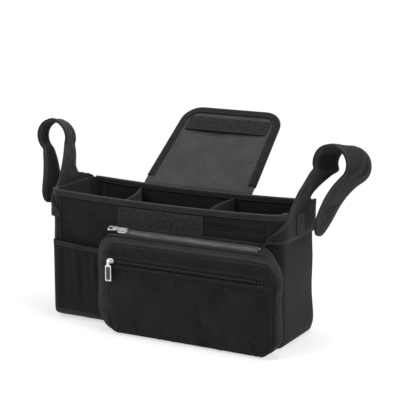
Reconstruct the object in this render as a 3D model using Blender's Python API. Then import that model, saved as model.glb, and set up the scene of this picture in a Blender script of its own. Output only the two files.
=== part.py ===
"""Stroller organizer: a padded three-compartment bag that hangs from a push bar.

Metres, +Z up, +X along the bag to its right, +Y towards its back. The origin is
on the underside, in the middle of the main bag, without the pouch and the flap.
"""
import math

import bmesh
import bpy
from mathutils import Matrix, Vector

# Main bag
BAG_LENGTH = 0.320
BAG_DEPTH = 0.100
BAG_HEIGHT = 0.162
RIM_SAG = 0.0037
PLAN_CORNER = 0.014
BASE_CORNER = 0.007
BASE_FLANGE = 0.002
PANEL = 0.003
SIDE_LAP = 0.004
SEAM_GAP = 0.0003
BOARD_THICKNESS = 0.002
BOARD_MARGIN = 0.001

# Tape folded over the long rims
RIM_TAPE = 0.001
RIM_TAPE_LEG = 0.0065

# Dividers between the three compartments
DIVIDER = 0.0025
DIVIDER_DROP = 0.004
DIVIDER_END_GAP = 0.0007
LEFT_DIVIDER_FRONT_X = -0.062
LEFT_DIVIDER_BACK_X = -0.083
RIGHT_DIVIDER_FRONT_X = 0.062
RIGHT_DIVIDER_BACK_X = 0.052
DIVIDER_BOW = 0.006

# Straps: a wide wing on each side wall, a neck, a loop over the bar, a free end
STRAP = 0.003
STRAP_WIDTH = 0.045
STRAP_POINTS = 15
WING_EASE = 0.0009
WING_BELOW_RIM = 0.033
WING_SEAM_BELOW_RIM = 0.025
WING_FOOT_Z = BAG_HEIGHT - WING_BELOW_RIM
WING_SEAM_Z = BAG_HEIGHT - WING_SEAM_BELOW_RIM
WING_RIM_FRONT_Y = -0.031
NECK_WAIST = 0.028
# Places of the loop and the free end: the third number is the height over the rim
LOOP_FRONT = (0.1945, 0.008, 0.0557)
LOOP_BACK = (0.2080, 0.048, 0.0480)
LOOP_RADIUS = 0.020
LOOP_STARTS = 200
LOOP_LEAVES = -50
FREE_END_BEND = (0.1925, 0.009, 0.016)
FREE_END = (0.1880, -0.006, -0.028)
FREE_END_ROUNDS = 0.72
STRAP_PATCH = 0.0012
STRAP_PATCH_WIDTH = 0.022
STRAP_PATCH_LENGTH = 0.026
STRAP_PATCH_MARGIN = 0.004

# Flap, standing open behind the back rim
FLAP = 0.003
FLAP_ROOT_WIDTH = 0.154
FLAP_END_WIDTH = 0.140
FLAP_LENGTH = 0.131
FLAP_SLOPE = math.radians(38.3)
FLAP_CORNER = 0.024
FLAP_TAB = 0.014
FLAP_BEND = 0.004
FLAP_MIDDLE_X = -0.006
FLAP_BINDING = 0.001
FLAP_BINDING_LEG = 0.008

# Hook-and-loop patches
PATCH_LENGTH = 0.118
PATCH_HEIGHT = 0.024
PATCH = 0.0012
FRONT_PATCH_BELOW_RIM = 0.0105
FLAP_PATCH_FROM_END = 0.016

# Mesh pocket on the front, left
POCKET_LEFT = -0.152
POCKET_RIGHT = -0.0775
POCKET_DEPTH = 0.0085
POCKET_BELOW_RIM = 0.0675
POCKET_TOP = BAG_HEIGHT - POCKET_BELOW_RIM
POCKET_TOP_DIP = 0.004
POCKET_BOTTOM = 0.003
POCKET_ROUND = 0.005
POCKET_SHEET = 0.001
HEM_HEIGHT = 0.006
HEM = 0.0012

# Pouch on the front, right: outlines at the bag, half way out and at the face,
# each as left, right, foot and the top's distance below the rim
POUCH_WALL = 0.0025
POUCH_DEPTH = 0.034
POUCH_SEAM = 0.0012
POUCH_ROOT = (-0.062, 0.150, 0.006, 0.0360)
POUCH_MIDDLE = (-0.079, 0.170, 0.0010, 0.0435)
POUCH_FACE = (-0.058, 0.165, 0.0025, 0.0500)
POUCH_ROOT_CORNER = 0.016
POUCH_MIDDLE_CORNER = 0.026
POUCH_FACE_CORNER = 0.018

# Top zip, metal teeth, in the sloping strip between the bag and the pouch
TOP_ZIP_LEFT_MARGIN = 0.002
TOP_ZIP_RIGHT_MARGIN = 0.011
TOP_ZIP_LEFT = POUCH_ROOT[0] + TOP_ZIP_LEFT_MARGIN
TOP_ZIP_RIGHT = POUCH_ROOT[1] - TOP_ZIP_RIGHT_MARGIN
TOP_ZIP_SLOT = 0.0144
TOOTH_PITCH = 0.003
TOOTH_THICKNESS = 0.0022
TOOTH_REACH = 0.0040
BEAD = 0.0014
TAPE = 0.0008
TOP_SLIDER_X = -0.048
TOP_SLIDER_LENGTH = 0.0135
TOP_SLIDER_WIDTH = 0.0100
TOP_PULL_LENGTH = 0.0190
TOP_PULL_WIDTH = 0.0072
END_STOP_LENGTH = 0.0025

# Front zip, coil, across the face of the pouch
FRONT_ZIP_LEFT_MARGIN = 0.004
FRONT_ZIP_RIGHT_MARGIN = 0.017
FRONT_ZIP_LEFT = POUCH_FACE[0] + FRONT_ZIP_LEFT_MARGIN
FRONT_ZIP_RIGHT = POUCH_FACE[1] - FRONT_ZIP_RIGHT_MARGIN
FRONT_ZIP_BELOW_RIM = 0.0705
FRONT_ZIP_Z = BAG_HEIGHT - FRONT_ZIP_BELOW_RIM
FRONT_ZIP_SLOT = 0.0074
COIL_REACH = 0.0016
COIL_THICKNESS = 0.0016
FRONT_SLIDER_X = -0.0495
FRONT_SLIDER_LENGTH = 0.0090
FRONT_SLIDER_WIDTH = 0.0068
FRONT_PULL_LENGTH = 0.0235
FRONT_PULL_WIDTH = 0.0082

# Sliders and pulls
SLIDER_PLATE = 0.0011
SLIDER_CLEARANCE = 0.0003
CROWN_HEIGHT = 0.0024
CROWN_BAR = 0.0010
CROWN_WIDTH = 0.0018
PULL = 0.0012
PULL_CLEARANCE = 0.0004
PULL_FRAME = 0.0013
CURL_WALL = 0.0009

CHARCOAL = (0.020, 0.020, 0.022)
DARK_GREY = (0.035, 0.035, 0.038)
LINING_GREY = (0.060, 0.060, 0.064)
BLACK = (0.010, 0.010, 0.012)
SILVER = (0.62, 0.62, 0.64)
BROWN_BLACK = (0.035, 0.025, 0.022)

HALF_LENGTH = BAG_LENGTH / 2
HALF_DEPTH = BAG_DEPTH / 2
FRONT_FACE = -HALF_DEPTH
ALONG_FRONT = HALF_LENGTH - PLAN_CORNER
ROUND_CORNER = math.pi / 2 * PLAN_CORNER
ALONG_SIDE = BAG_DEPTH - 2 * PLAN_CORNER
SIDE_MIDDLE = ALONG_FRONT + ROUND_CORNER + ALONG_SIDE / 2
HALF_ROUND = 2 * SIDE_MIDDLE


def clear_scene():
    for thing in list(bpy.data.objects):
        bpy.data.objects.remove(thing, do_unlink=True)


def material(name, colour, roughness, metallic):
    finish = bpy.data.materials.new(name)
    finish.use_nodes = True
    shader = finish.node_tree.nodes["Principled BSDF"]
    shader.inputs["Base Color"].default_value = (*colour, 1.0)
    shader.inputs["Roughness"].default_value = roughness
    shader.inputs["Metallic"].default_value = metallic
    finish.diffuse_color = (*colour, 1.0)
    return finish


def add_object(name, mesh_data, colour, metallic=0.0):
    """One named piece with a material of its own; metal is smoother than cloth."""
    piece = bpy.data.objects.new(name, mesh_data)
    bpy.context.collection.objects.link(piece)
    roughness = 0.3 if metallic else 0.85
    mesh_data.materials.append(material(name, colour, roughness, metallic))
    mesh_data.shade_smooth()
    mesh_data.set_sharp_from_angle(angle=math.radians(30))
    return piece


def finish_mesh(name, shape):
    bmesh.ops.recalc_face_normals(shape, faces=shape.faces)
    mesh_data = bpy.data.meshes.new(name)
    shape.to_mesh(mesh_data)
    shape.free()
    return mesh_data


def sheet(name, rows, thickness, colour, closed=False, away_from=None):
    """Cloth of an even thickness, laid through rows of points.

    The cloth grows away from the point away_from, on the far side of the rows.
    """
    shape = bmesh.new()
    grid = [[shape.verts.new(point) for point in row] for row in rows]
    for lower, upper in zip(grid, grid[1:]):
        count = len(lower)
        for index in range(count if closed else count - 1):
            after = (index + 1) % count
            shape.faces.new((lower[index], lower[after], upper[after], upper[index]))
    shape.normal_update()
    first = next(iter(shape.faces))
    towards = first.calc_center_median() - Vector(away_from)
    if first.normal.dot(towards) > 0:
        bmesh.ops.reverse_faces(shape, faces=shape.faces)
    mesh_data = bpy.data.meshes.new(name)
    shape.to_mesh(mesh_data)
    shape.free()
    piece = add_object(name, mesh_data, colour)
    wall = piece.modifiers.new("thickness", "SOLIDIFY")
    wall.thickness = thickness
    wall.offset = -1
    wall.use_even_offset = True
    wall.use_quality_normals = True
    return piece


def prism(name, outline, low, high, colour, metallic=0.0):
    """An outline in XY drawn up from low to high."""
    shape = bmesh.new()
    corners = [shape.verts.new((x, y, low)) for x, y in outline]
    face = shape.faces.new(corners)
    grown = bmesh.ops.extrude_face_region(shape, geom=[face])
    risen = [part for part in grown["geom"] if isinstance(part, bmesh.types.BMVert)]
    bmesh.ops.translate(shape, verts=risen, vec=(0, 0, high - low))
    return add_object(name, finish_mesh(name, shape), colour, metallic)


def rounded_rectangle(left, right, low, high, radius, steps=4):
    """Corner points of a rectangle with round corners, counter-clockwise."""
    centres = (
        (right - radius, low + radius, -90),
        (right - radius, high - radius, 0),
        (left + radius, high - radius, 90),
        (left + radius, low + radius, 180),
    )
    points = []
    for x, y, start in centres:
        for step in range(steps + 1):
            angle = math.radians(start + 90 * step / steps)
            points.append((x + radius * math.cos(angle), y + radius * math.sin(angle)))
    return points


def cut(piece, cutter):
    """Take the cutter's shape out of the piece."""
    hole = piece.modifiers.new("cut " + cutter.name, "BOOLEAN")
    hole.operation = "DIFFERENCE"
    hole.solver = "EXACT"
    hole.object = cutter
    cutter.hide_render = True
    cutter.display_type = "WIRE"


def join(piece, addition):
    """Make the addition part of the piece."""
    union = piece.modifiers.new("with " + addition.name, "BOOLEAN")
    union.operation = "UNION"
    union.solver = "EXACT"
    union.object = addition
    addition.hide_render = True
    addition.display_type = "WIRE"


def empty(name, matrix):
    marker = bpy.data.objects.new(name, None)
    bpy.context.collection.objects.link(marker)
    marker.matrix_world = matrix
    return marker


def hang_on(piece, carrier, place=(0, 0, 0)):
    piece.parent = carrier
    piece.location = place


def outline_point(distance, offset=0.0):
    """A point of the bag's outline seen from above, and its outward direction.

    The distance runs from the middle of the front, round the right side, to the
    middle of the back. A negative distance runs round the left side.
    """
    side = -1 if distance < 0 else 1
    way = abs(distance)
    corner_x = HALF_LENGTH - PLAN_CORNER
    corner_y = HALF_DEPTH - PLAN_CORNER
    first_round = ALONG_FRONT + ROUND_CORNER
    second_corner = first_round + ALONG_SIDE
    if way <= ALONG_FRONT:
        point, out = Vector((way, -HALF_DEPTH)), Vector((0, -1))
    elif way <= first_round:
        angle = (way - ALONG_FRONT) / PLAN_CORNER
        out = Vector((math.sin(angle), -math.cos(angle)))
        point = Vector((corner_x, -corner_y)) + PLAN_CORNER * out
    elif way <= second_corner:
        point, out = Vector((HALF_LENGTH, way - first_round - corner_y)), Vector((1, 0))
    elif way <= second_corner + ROUND_CORNER:
        angle = (way - second_corner) / PLAN_CORNER
        out = Vector((math.cos(angle), math.sin(angle)))
        point = Vector((corner_x, corner_y)) + PLAN_CORNER * out
    else:
        point, out = Vector((HALF_ROUND - way, HALF_DEPTH)), Vector((0, 1))
    spot = point + out * offset
    return spot.x * side, spot.y


def rim_height(x):
    """Height of the long rims, which dip a little between the straps."""
    return BAG_HEIGHT - RIM_SAG * (1 - (x / HALF_LENGTH) ** 2)


def wall_panel(name, distances, colour):
    """A padded wall: upright, then turned under the bag along its lower edge."""
    steps = 4
    rows = []
    top = []
    for distance in distances:
        x, y = outline_point(distance)
        top.append((x, y, rim_height(x)))
    rows.append(top)
    for step in range(steps + 1):
        angle = math.radians(90 * step / steps)
        inset = BASE_CORNER * (1 - math.cos(angle))
        height = BASE_CORNER * (1 - math.sin(angle))
        row = []
        for distance in distances:
            x, y = outline_point(distance, -inset)
            row.append((x, y, height))
        rows.append(row)
    rows.append([(*outline_point(way, -BASE_CORNER - BASE_FLANGE), 0) for way in distances])
    outside = Vector(rows[0][0])
    outside.x *= 3
    outside.y *= 3
    return sheet(name, rows, PANEL, colour, away_from=outside)


def spaced(first, last, count):
    return [first + (last - first) * index / (count - 1) for index in range(count)]


def main_walls():
    end = ALONG_FRONT - SIDE_LAP - SEAM_GAP / 2
    wall_panel("front_panel", spaced(-end, end, 9), CHARCOAL)
    begin = HALF_ROUND - end
    back_right = spaced(begin, HALF_ROUND, 5)
    back_left = [-distance for distance in reversed(back_right[:-1])]
    wall_panel("back_panel", back_right + back_left, CHARCOAL)
    corner = [ALONG_FRONT - SIDE_LAP + SEAM_GAP / 2]
    corner += spaced(ALONG_FRONT, ALONG_FRONT + ROUND_CORNER, 5)
    far_corner = [HALF_ROUND - distance for distance in reversed(corner)]
    for name, side in (("left_side_panel", -1), ("right_side_panel", 1)):
        wall_panel(name, [side * distance for distance in corner + far_corner], CHARCOAL)


def base():
    inset = BASE_CORNER + BASE_FLANGE + SEAM_GAP
    outline = rounded_rectangle(
        -HALF_LENGTH + inset, HALF_LENGTH - inset,
        -HALF_DEPTH + inset, HALF_DEPTH - inset, PLAN_CORNER - inset)
    prism("base_panel", outline, 0, PANEL, CHARCOAL)
    inset = BASE_CORNER + BASE_FLANGE + BOARD_MARGIN
    outline = rounded_rectangle(
        -HALF_LENGTH + inset, HALF_LENGTH - inset,
        -HALF_DEPTH + inset, HALF_DEPTH - inset, PLAN_CORNER - inset)
    low = PANEL + SEAM_GAP
    prism("base_board", outline, low, low + BOARD_THICKNESS, BLACK)


def rim_tape(name, side, end):
    """A tape folded over a long rim, from one round corner to the other."""
    outer = side * (HALF_DEPTH + SEAM_GAP)
    inner = side * (HALF_DEPTH - PANEL - SEAM_GAP)
    rows = []
    for x in spaced(-end, end, 9):
        top = rim_height(x) + SEAM_GAP
        low = top - RIM_TAPE_LEG
        rows.append([(x, outer, low), (x, outer, top), (x, inner, top), (x, inner, low)])
    middle = (0, side * (HALF_DEPTH - PANEL / 2), BAG_HEIGHT - RIM_TAPE_LEG)
    sheet(name, rows, RIM_TAPE, BLACK, away_from=middle)


def divider(name, front_x, back_x):
    """A padded divider, bowed round the compartment beside it."""
    low = PANEL + SEAM_GAP + BOARD_THICKNESS + SEAM_GAP
    reach = HALF_DEPTH - PANEL - DIVIDER_END_GAP - RIM_TAPE - SEAM_GAP
    high = BAG_HEIGHT - RIM_SAG - DIVIDER_DROP
    rows = []
    for z in (low, low + BASE_CORNER, high):
        row = []
        for step in range(9):
            share = step / 8
            y = -reach + 2 * reach * share
            if z == low:
                y *= (HALF_DEPTH - BASE_CORNER - BOARD_MARGIN) / HALF_DEPTH
            bow = DIVIDER_BOW * math.sin(math.pi * share) * (-1 if front_x > 0 else 1)
            row.append((front_x + (back_x - front_x) * share + bow, y, z))
        rows.append(row)
    sheet(name, rows, DIVIDER, DARK_GREY, away_from=(0, 0, low))


def mix(first, last, share):
    return first + (last - first) * share


def across(front, back):
    """Points of a row straight across the strap, from its front edge to its back."""
    return [mix(front, back, index / (STRAP_POINTS - 1)) for index in range(STRAP_POINTS)]


def wing_rows():
    """The wide foot of the right strap, laid round the side wall and its corners."""
    corner_way = ALONG_SIDE / 2 + ROUND_CORNER
    rim_front_way = -WING_RIM_FRONT_Y
    rim_back_way = ALONG_SIDE / 2 + ROUND_CORNER / 2
    edges = [(WING_FOOT_Z, corner_way + SIDE_LAP, corner_way + SIDE_LAP)]
    for share in spaced(0, 1, 6):
        edges.append((
            mix(WING_SEAM_Z, BAG_HEIGHT, share),
            mix(corner_way, rim_front_way, share),
            mix(corner_way, rim_back_way, share)))
    edges.append((BAG_HEIGHT + STRAP, rim_front_way - STRAP, rim_back_way - STRAP))
    rows = []
    for z, front_way, back_way in edges:
        row = []
        front_bend = min(ALONG_SIDE / 2, front_way - SIDE_LAP)
        back_bend = min(ALONG_SIDE / 2, back_way - SIDE_LAP)
        ways = spaced(-front_way, -front_bend, 6)[:-1] + spaced(-front_bend, back_bend, 5)
        ways += spaced(back_bend, back_way, 6)[1:]
        for way in ways:
            x, y = outline_point(SIDE_MIDDLE + way, WING_EASE + STRAP)
            row.append(Vector((x, y, z)))
        rows.append(row)
    return rows


def over_rim(place):
    return Vector((place[0], place[1], BAG_HEIGHT + place[2]))


def loop_edges(degrees):
    """Front and back edge of the strap at an angle round the bar."""
    angle = math.radians(degrees)
    round_bar = LOOP_RADIUS * Vector((math.cos(angle), 0, math.sin(angle)))
    return over_rim(LOOP_FRONT) + round_bar, over_rim(LOOP_BACK) + round_bar


def free_end_row(share, width=1.0):
    """A row of the free end, at a share of its way down, in a share of its width."""
    start_front, start_back = loop_edges(LOOP_LEAVES)
    start = (start_front + start_back) / 2
    bend = over_rim(FREE_END_BEND)
    end = over_rim(FREE_END)
    centre = mix(mix(start, bend, share), mix(bend, end, share), share)
    half = mix((start_back - start_front) / 2, Vector((0, STRAP_WIDTH / 2, 0)), share)
    return across(centre - half * width, centre + half * width)


def strap_rows():
    """Rows across the right strap, from its foot on the bag to its free end.

    Every row lies on the face that touches the bar, and runs from front to back.
    """
    rows = wing_rows()
    rim_front, rim_back = rows[-1][0], rows[-1][-1]
    loop_front, loop_back = loop_edges(LOOP_STARTS)
    for share in (0.14, 0.3, 0.48, 0.66, 0.84):
        front = mix(rim_front, loop_front, share)
        back = mix(rim_back, loop_back, share)
        front.x = mix(rim_front.x, loop_front.x, share ** 1.6)
        back.x = mix(rim_front.x, loop_back.x, share ** 1.6)
        back.y -= NECK_WAIST * math.sin(math.pi * math.sqrt(share))
        rows.append(across(front, back))
    for degrees in spaced(LOOP_STARTS, LOOP_LEAVES, 11):
        rows.append(across(*loop_edges(degrees)))
    rows += [free_end_row(share) for share in (0.16, 0.32, 0.48, 0.62)]
    for degrees in (0, 30, 55, 75):
        angle = math.radians(degrees)
        share = mix(FREE_END_ROUNDS, 1.0, math.sin(angle))
        rows.append(free_end_row(share, math.cos(angle)))
    return rows


def mirrored(rows, side):
    return [[Vector((side * point.x, point.y, point.z)) for point in row] for row in rows]


def strap(side, name):
    rows = mirrored(strap_rows(), side)
    outside = Vector((rows[0][0].x * 1.5, rows[0][0].y * 1.5, WING_FOOT_Z))
    sheet(name + "_strap", rows, STRAP, CHARCOAL, away_from=outside)
    foot = WING_FOOT_Z + STRAP_PATCH_MARGIN
    outline = rounded_rectangle(
        FREE_END[1] - STRAP_PATCH_WIDTH / 2, FREE_END[1] + STRAP_PATCH_WIDTH / 2,
        foot, foot + STRAP_PATCH_LENGTH, 0.003, 2)
    loop = prism(name + "_strap_loop_patch", outline, 0, STRAP_PATCH, DARK_GREY)
    turn = Matrix(((0, 0, 1, 0), (1, 0, 0, 0), (0, 1, 0, 0), (0, 0, 0, 1)))
    face = HALF_LENGTH + WING_EASE + STRAP + SEAM_GAP
    start = face if side > 0 else -face - STRAP_PATCH
    loop.matrix_world = Matrix.Translation((start, 0, 0)) @ turn
    width = STRAP_PATCH_WIDTH / STRAP_WIDTH
    hook_rows = [free_end_row(share, width) for share in spaced(0.52, 0.86, 5)]
    shift = Vector((-STRAP_PATCH - 1.5 * SEAM_GAP, 0, 0))
    hook_rows = mirrored([[point + shift for point in row] for row in hook_rows], side)
    sheet(name + "_strap_hook_patch", hook_rows, STRAP_PATCH, DARK_GREY,
          away_from=(0, 0, foot))


def flap_frame():
    """The flap's plane: X across, Y along it from the bend to the free end, Z up."""
    y = HALF_DEPTH + RIM_TAPE + 2 * SEAM_GAP + FLAP_BEND
    z = BAG_HEIGHT + FLAP_BEND * 0.4
    return Matrix.Translation((FLAP_MIDDLE_X, y, z)) @ Matrix.Rotation(FLAP_SLOPE, 4, "X")


def flap_half_width(way):
    """Half the flap's width at a distance from the bend, with its round corners."""
    straight = (FLAP_ROOT_WIDTH + (FLAP_END_WIDTH - FLAP_ROOT_WIDTH) * way / FLAP_LENGTH) / 2
    into_corner = way - (FLAP_LENGTH - FLAP_CORNER)
    if into_corner <= 0:
        return straight
    return straight - FLAP_CORNER + math.sqrt(max(FLAP_CORNER ** 2 - into_corner ** 2, 0))


def flap():
    """The lid, in one piece with the tab that is sewn to the back wall."""
    plane = flap_frame()
    y = HALF_DEPTH + RIM_TAPE + 2 * SEAM_GAP
    half = FLAP_ROOT_WIDTH / 2
    profile = (
        (y, BAG_HEIGHT - FLAP_TAB),
        (y, BAG_HEIGHT - FLAP_BEND),
        (y + FLAP_BEND * 0.3, BAG_HEIGHT - FLAP_BEND * 0.2),
    )
    rows = []
    for row_y, z in profile:
        rows.append([Vector((FLAP_MIDDLE_X + x, row_y, z)) for x in spaced(-half, half, 7)])
    ways = [0.0, FLAP_LENGTH * 0.3, FLAP_LENGTH * 0.6, FLAP_LENGTH - FLAP_CORNER]
    ways += [FLAP_LENGTH - FLAP_CORNER * (1 - math.sin(math.radians(a))) for a in (25, 50, 70, 84)]
    for way in ways:
        width = flap_half_width(way)
        rows.append([plane @ Vector((x, way, 0)) for x in spaced(-width, width, 7)])
    sheet("flap", rows, FLAP, LINING_GREY, away_from=(0, y - 0.1, BAG_HEIGHT))


def flap_binding():
    """A tape folded over the flap's three free edges."""
    plane = flap_frame()
    path = []
    start = FLAP_LENGTH * 0.06
    for way in (start, FLAP_LENGTH - FLAP_CORNER):
        path.append((flap_half_width(way), way))
    end_half = FLAP_END_WIDTH / 2 - FLAP_CORNER
    for degrees in (18, 36, 54, 72, 90):
        angle = math.radians(degrees)
        straight = flap_half_width(FLAP_LENGTH - FLAP_CORNER) - FLAP_CORNER
        x = straight + (end_half - straight) * degrees / 90 + FLAP_CORNER * math.cos(angle)
        path.append((x, FLAP_LENGTH - FLAP_CORNER * (1 - math.sin(angle))))
    path += [(-x, way) for x, way in reversed(path)]
    rows = []
    for index, (x, way) in enumerate(path):
        before = Vector(path[max(index - 1, 0)])
        after = Vector(path[min(index + 1, len(path) - 1)])
        along = (after - before).normalized()
        out = Vector((along.y, -along.x))
        if out.x * x < 0 or (abs(x) < end_half and out.y < 0):
            out = -out
        edge = Vector((x, way)) + out * SEAM_GAP
        inner = edge - out * FLAP_BINDING_LEG
        top = SEAM_GAP
        low = -FLAP - SEAM_GAP
        rows.append([
            plane @ Vector((inner.x, inner.y, top)), plane @ Vector((edge.x, edge.y, top)),
            plane @ Vector((edge.x, edge.y, low)), plane @ Vector((inner.x, inner.y, low)),
        ])
    inside = plane @ Vector((0, FLAP_LENGTH / 2, -FLAP / 2))
    sheet("flap_binding", rows, FLAP_BINDING, CHARCOAL, away_from=inside)


def patches():
    """The long loop patch under the front rim and the hook patch on the flap."""
    half = PATCH_LENGTH / 2
    outline = rounded_rectangle(-half, half, 0, PATCH_HEIGHT, 0.002, 2)
    front = prism("front_loop_patch", outline, 0, PATCH, DARK_GREY)
    upright = Matrix.Rotation(math.pi / 2, 4, "X")
    foot = BAG_HEIGHT - FRONT_PATCH_BELOW_RIM - PATCH_HEIGHT
    front.matrix_world = Matrix.Translation((0, FRONT_FACE - SEAM_GAP, foot)) @ upright
    start = FLAP_LENGTH - FLAP_PATCH_FROM_END - PATCH_HEIGHT
    hook = prism("flap_hook_patch", outline, 0, PATCH, DARK_GREY)
    hook.matrix_world = flap_frame() @ Matrix.Translation((0, start, SEAM_GAP))


def pocket_plan(depth):
    """The mesh pocket's path seen from above, from the front wall and back to it."""
    wall = FRONT_FACE - SEAM_GAP
    corners = []
    for x, side, start in ((POCKET_LEFT, 1, 180), (POCKET_RIGHT, -1, 270)):
        for step in range(4):
            angle = math.radians(start + 30 * step)
            corners.append((
                x + side * POCKET_ROUND + POCKET_ROUND * math.cos(angle),
                wall - depth + POCKET_ROUND + POCKET_ROUND * math.sin(angle)))
    return [(POCKET_LEFT, wall)] + corners + [(POCKET_RIGHT, wall)]


def pocket_top(x):
    """Height of the mesh edge, which dips towards the pouch."""
    share = (x - POCKET_LEFT) / (POCKET_RIGHT - POCKET_LEFT)
    return POCKET_TOP - POCKET_TOP_DIP * math.sin(math.pi / 2 * share)


def mesh_pocket():
    wall = FRONT_FACE - SEAM_GAP
    plan = pocket_plan(POCKET_DEPTH)
    rows = []
    for height, share in ((POCKET_BOTTOM, 0.22), (POCKET_BOTTOM + 0.003, 0.75), (0.012, 1.0)):
        rows.append([(x, wall + (y - wall) * share, height) for x, y in plan])
    rows.append([(x, y, pocket_top(x)) for x, y in plan])
    outside = (2 * POCKET_LEFT, wall, POCKET_TOP)
    sheet("mesh_pocket", rows, POCKET_SHEET, BLACK, away_from=outside)
    hem_rows = []
    for x, y in plan:
        low = pocket_top(x) + SEAM_GAP
        hem_rows.append([(x, y, low), (x, y, low + HEM_HEIGHT)])
    sheet("pocket_hem", hem_rows, HEM, CHARCOAL, away_from=outside)


def between(values, share):
    """A smooth curve through three values, at shares 0, 0.5 and 1."""
    first, middle, last = values
    return (first * (1 - share) * (1 - 2 * share) + middle * 4 * share * (1 - share)
            + last * share * (2 * share - 1))


def pouch_outline(share):
    box = [between(values, share) for values in zip(POUCH_ROOT, POUCH_MIDDLE, POUCH_FACE)]
    box[3] = BAG_HEIGHT - box[3]
    radius = between((POUCH_ROOT_CORNER, POUCH_MIDDLE_CORNER, POUCH_FACE_CORNER), share)
    return rounded_rectangle(*box, radius, 5)


def top_zip_frame():
    """Middle of the sloping strip that the top zip fills: X along it, Z out of it."""
    root_y = FRONT_FACE - SEAM_GAP - POUCH_SEAM
    middle_y = FRONT_FACE - SEAM_GAP - (POUCH_DEPTH - POUCH_WALL - 2 * SEAM_GAP) / 2
    rise = POUCH_MIDDLE[3] - POUCH_ROOT[3]
    slope = math.atan2(rise, root_y - middle_y)
    centre = Vector(((TOP_ZIP_LEFT + TOP_ZIP_RIGHT) / 2, (root_y + middle_y) / 2,
                     BAG_HEIGHT - (POUCH_ROOT[3] + POUCH_MIDDLE[3]) / 2))
    return Matrix.Translation(centre) @ Matrix.Rotation(slope, 4, "X")


def front_zip_frame():
    centre = ((FRONT_ZIP_LEFT + FRONT_ZIP_RIGHT) / 2, FRONT_FACE - POUCH_DEPTH, FRONT_ZIP_Z)
    return Matrix.Translation(centre) @ Matrix.Rotation(math.pi / 2, 4, "X")


def slot_cutter(name, frame, length, width, depth):
    outline = rounded_rectangle(-length / 2, length / 2, -width / 2, width / 2, 0.0005, 1)
    cutter = prism(name, outline, -depth, depth, BLACK)
    cutter.matrix_world = frame
    return cutter


def pouch():
    """A gusset that bellies out between the bag and the face, and the face panel."""
    root_y = FRONT_FACE - SEAM_GAP
    face_y = FRONT_FACE - POUCH_DEPTH + POUCH_WALL + SEAM_GAP
    rows = [[(x, root_y, z) for x, z in pouch_outline(0)]]
    first_y = root_y - POUCH_SEAM
    last_y = face_y + POUCH_SEAM
    for step in range(7):
        share = step / 6
        y = first_y + (last_y - first_y) * share
        rows.append([(x, y, z) for x, z in pouch_outline(share)])
    rows.append([(x, face_y, z) for x, z in pouch_outline(1)])
    outside = (0, root_y, -0.1)
    gusset = sheet("pouch_gusset", rows, POUCH_WALL, DARK_GREY, closed=True, away_from=outside)
    face = prism("pouch_front_panel", pouch_outline(1.0), -POUCH_WALL, 0, CHARCOAL)
    upright = Matrix.Rotation(math.pi / 2, 4, "X")
    face.matrix_world = Matrix.Translation((0, FRONT_FACE - POUCH_DEPTH, 0)) @ upright
    top_length = TOP_ZIP_RIGHT - TOP_ZIP_LEFT
    cut(gusset, slot_cutter("top_slot", top_zip_frame(), top_length, TOP_ZIP_SLOT, 0.008))
    front_length = FRONT_ZIP_RIGHT - FRONT_ZIP_LEFT
    cut(face, slot_cutter("front_slot", front_zip_frame(), front_length, FRONT_ZIP_SLOT, 0.008))


def toothed_tape(name, frame, side, first, last, slot):
    """Half of a metal zip: tape, bead and teeth in one piece.

    The teeth reach across the middle line between those of the other half.
    """
    half_reach = TOOTH_REACH / 2
    half_tooth = TOOTH_THICKNESS / 2
    half_tape = TAPE / 2
    edge = slot / 2 - SEAM_GAP
    tooth = TOOTH_PITCH / 2 - SEAM_GAP
    shift = TOOTH_PITCH / 2 if side > 0 else 0.0
    starts = []
    x = first + TOOTH_PITCH / 2 + shift
    while x + tooth < last - END_STOP_LENGTH - TOOTH_PITCH:
        starts.append(x)
        x += TOOTH_PITCH
    stations = [first]
    for start in starts:
        stations += [start, start + tooth]
    stations.append(last)
    shape = bmesh.new()

    def corner(x, y, z):
        return shape.verts.new((x, side * y, z))

    upper = [corner(x, half_reach, half_tooth) for x in stations]
    lower = [corner(x, half_reach, -half_tooth) for x in stations]
    for index in range(len(stations) - 1):
        a, b = upper[index], upper[index + 1]
        c, d = lower[index + 1], lower[index]
        if index % 2 == 0:
            shape.faces.new((a, b, c, d))
            continue
        tip = -half_reach + SEAM_GAP
        tips = [corner(point.co.x, tip, point.co.z) for point in (a, b, c, d)]
        shape.faces.new(tips)
        for one, two, far_two, far_one in (
                (a, b, tips[1], tips[0]), (b, c, tips[2], tips[1]),
                (c, d, tips[3], tips[2]), (d, a, tips[0], tips[3])):
            shape.faces.new((one, two, far_two, far_one))
    ends = []
    for x in (first, last):
        ends.append([
            corner(x, half_reach + BEAD, half_tooth), corner(x, half_reach + BEAD, half_tape),
            corner(x, edge, half_tape), corner(x, edge, -half_tape),
            corner(x, half_reach + BEAD, -half_tape), corner(x, half_reach + BEAD, -half_tooth),
        ])
    left, right = ends
    for index in range(len(left) - 1):
        shape.faces.new((left[index], left[index + 1], right[index + 1], right[index]))
    middle = len(stations) // 2
    for row, near, far in ((upper, left[0], right[0]), (lower, left[-1], right[-1])):
        for index in range(len(row) - 1):
            shape.faces.new((near if index < middle else far, row[index], row[index + 1]))
        shape.faces.new((near, row[middle], far))
    shape.faces.new([upper[0]] + left + [lower[0]])
    shape.faces.new([upper[-1]] + right + [lower[-1]])
    tape = add_object(name, finish_mesh(name, shape), SILVER, 1.0)
    tape.matrix_world = frame
    return tape


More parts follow.
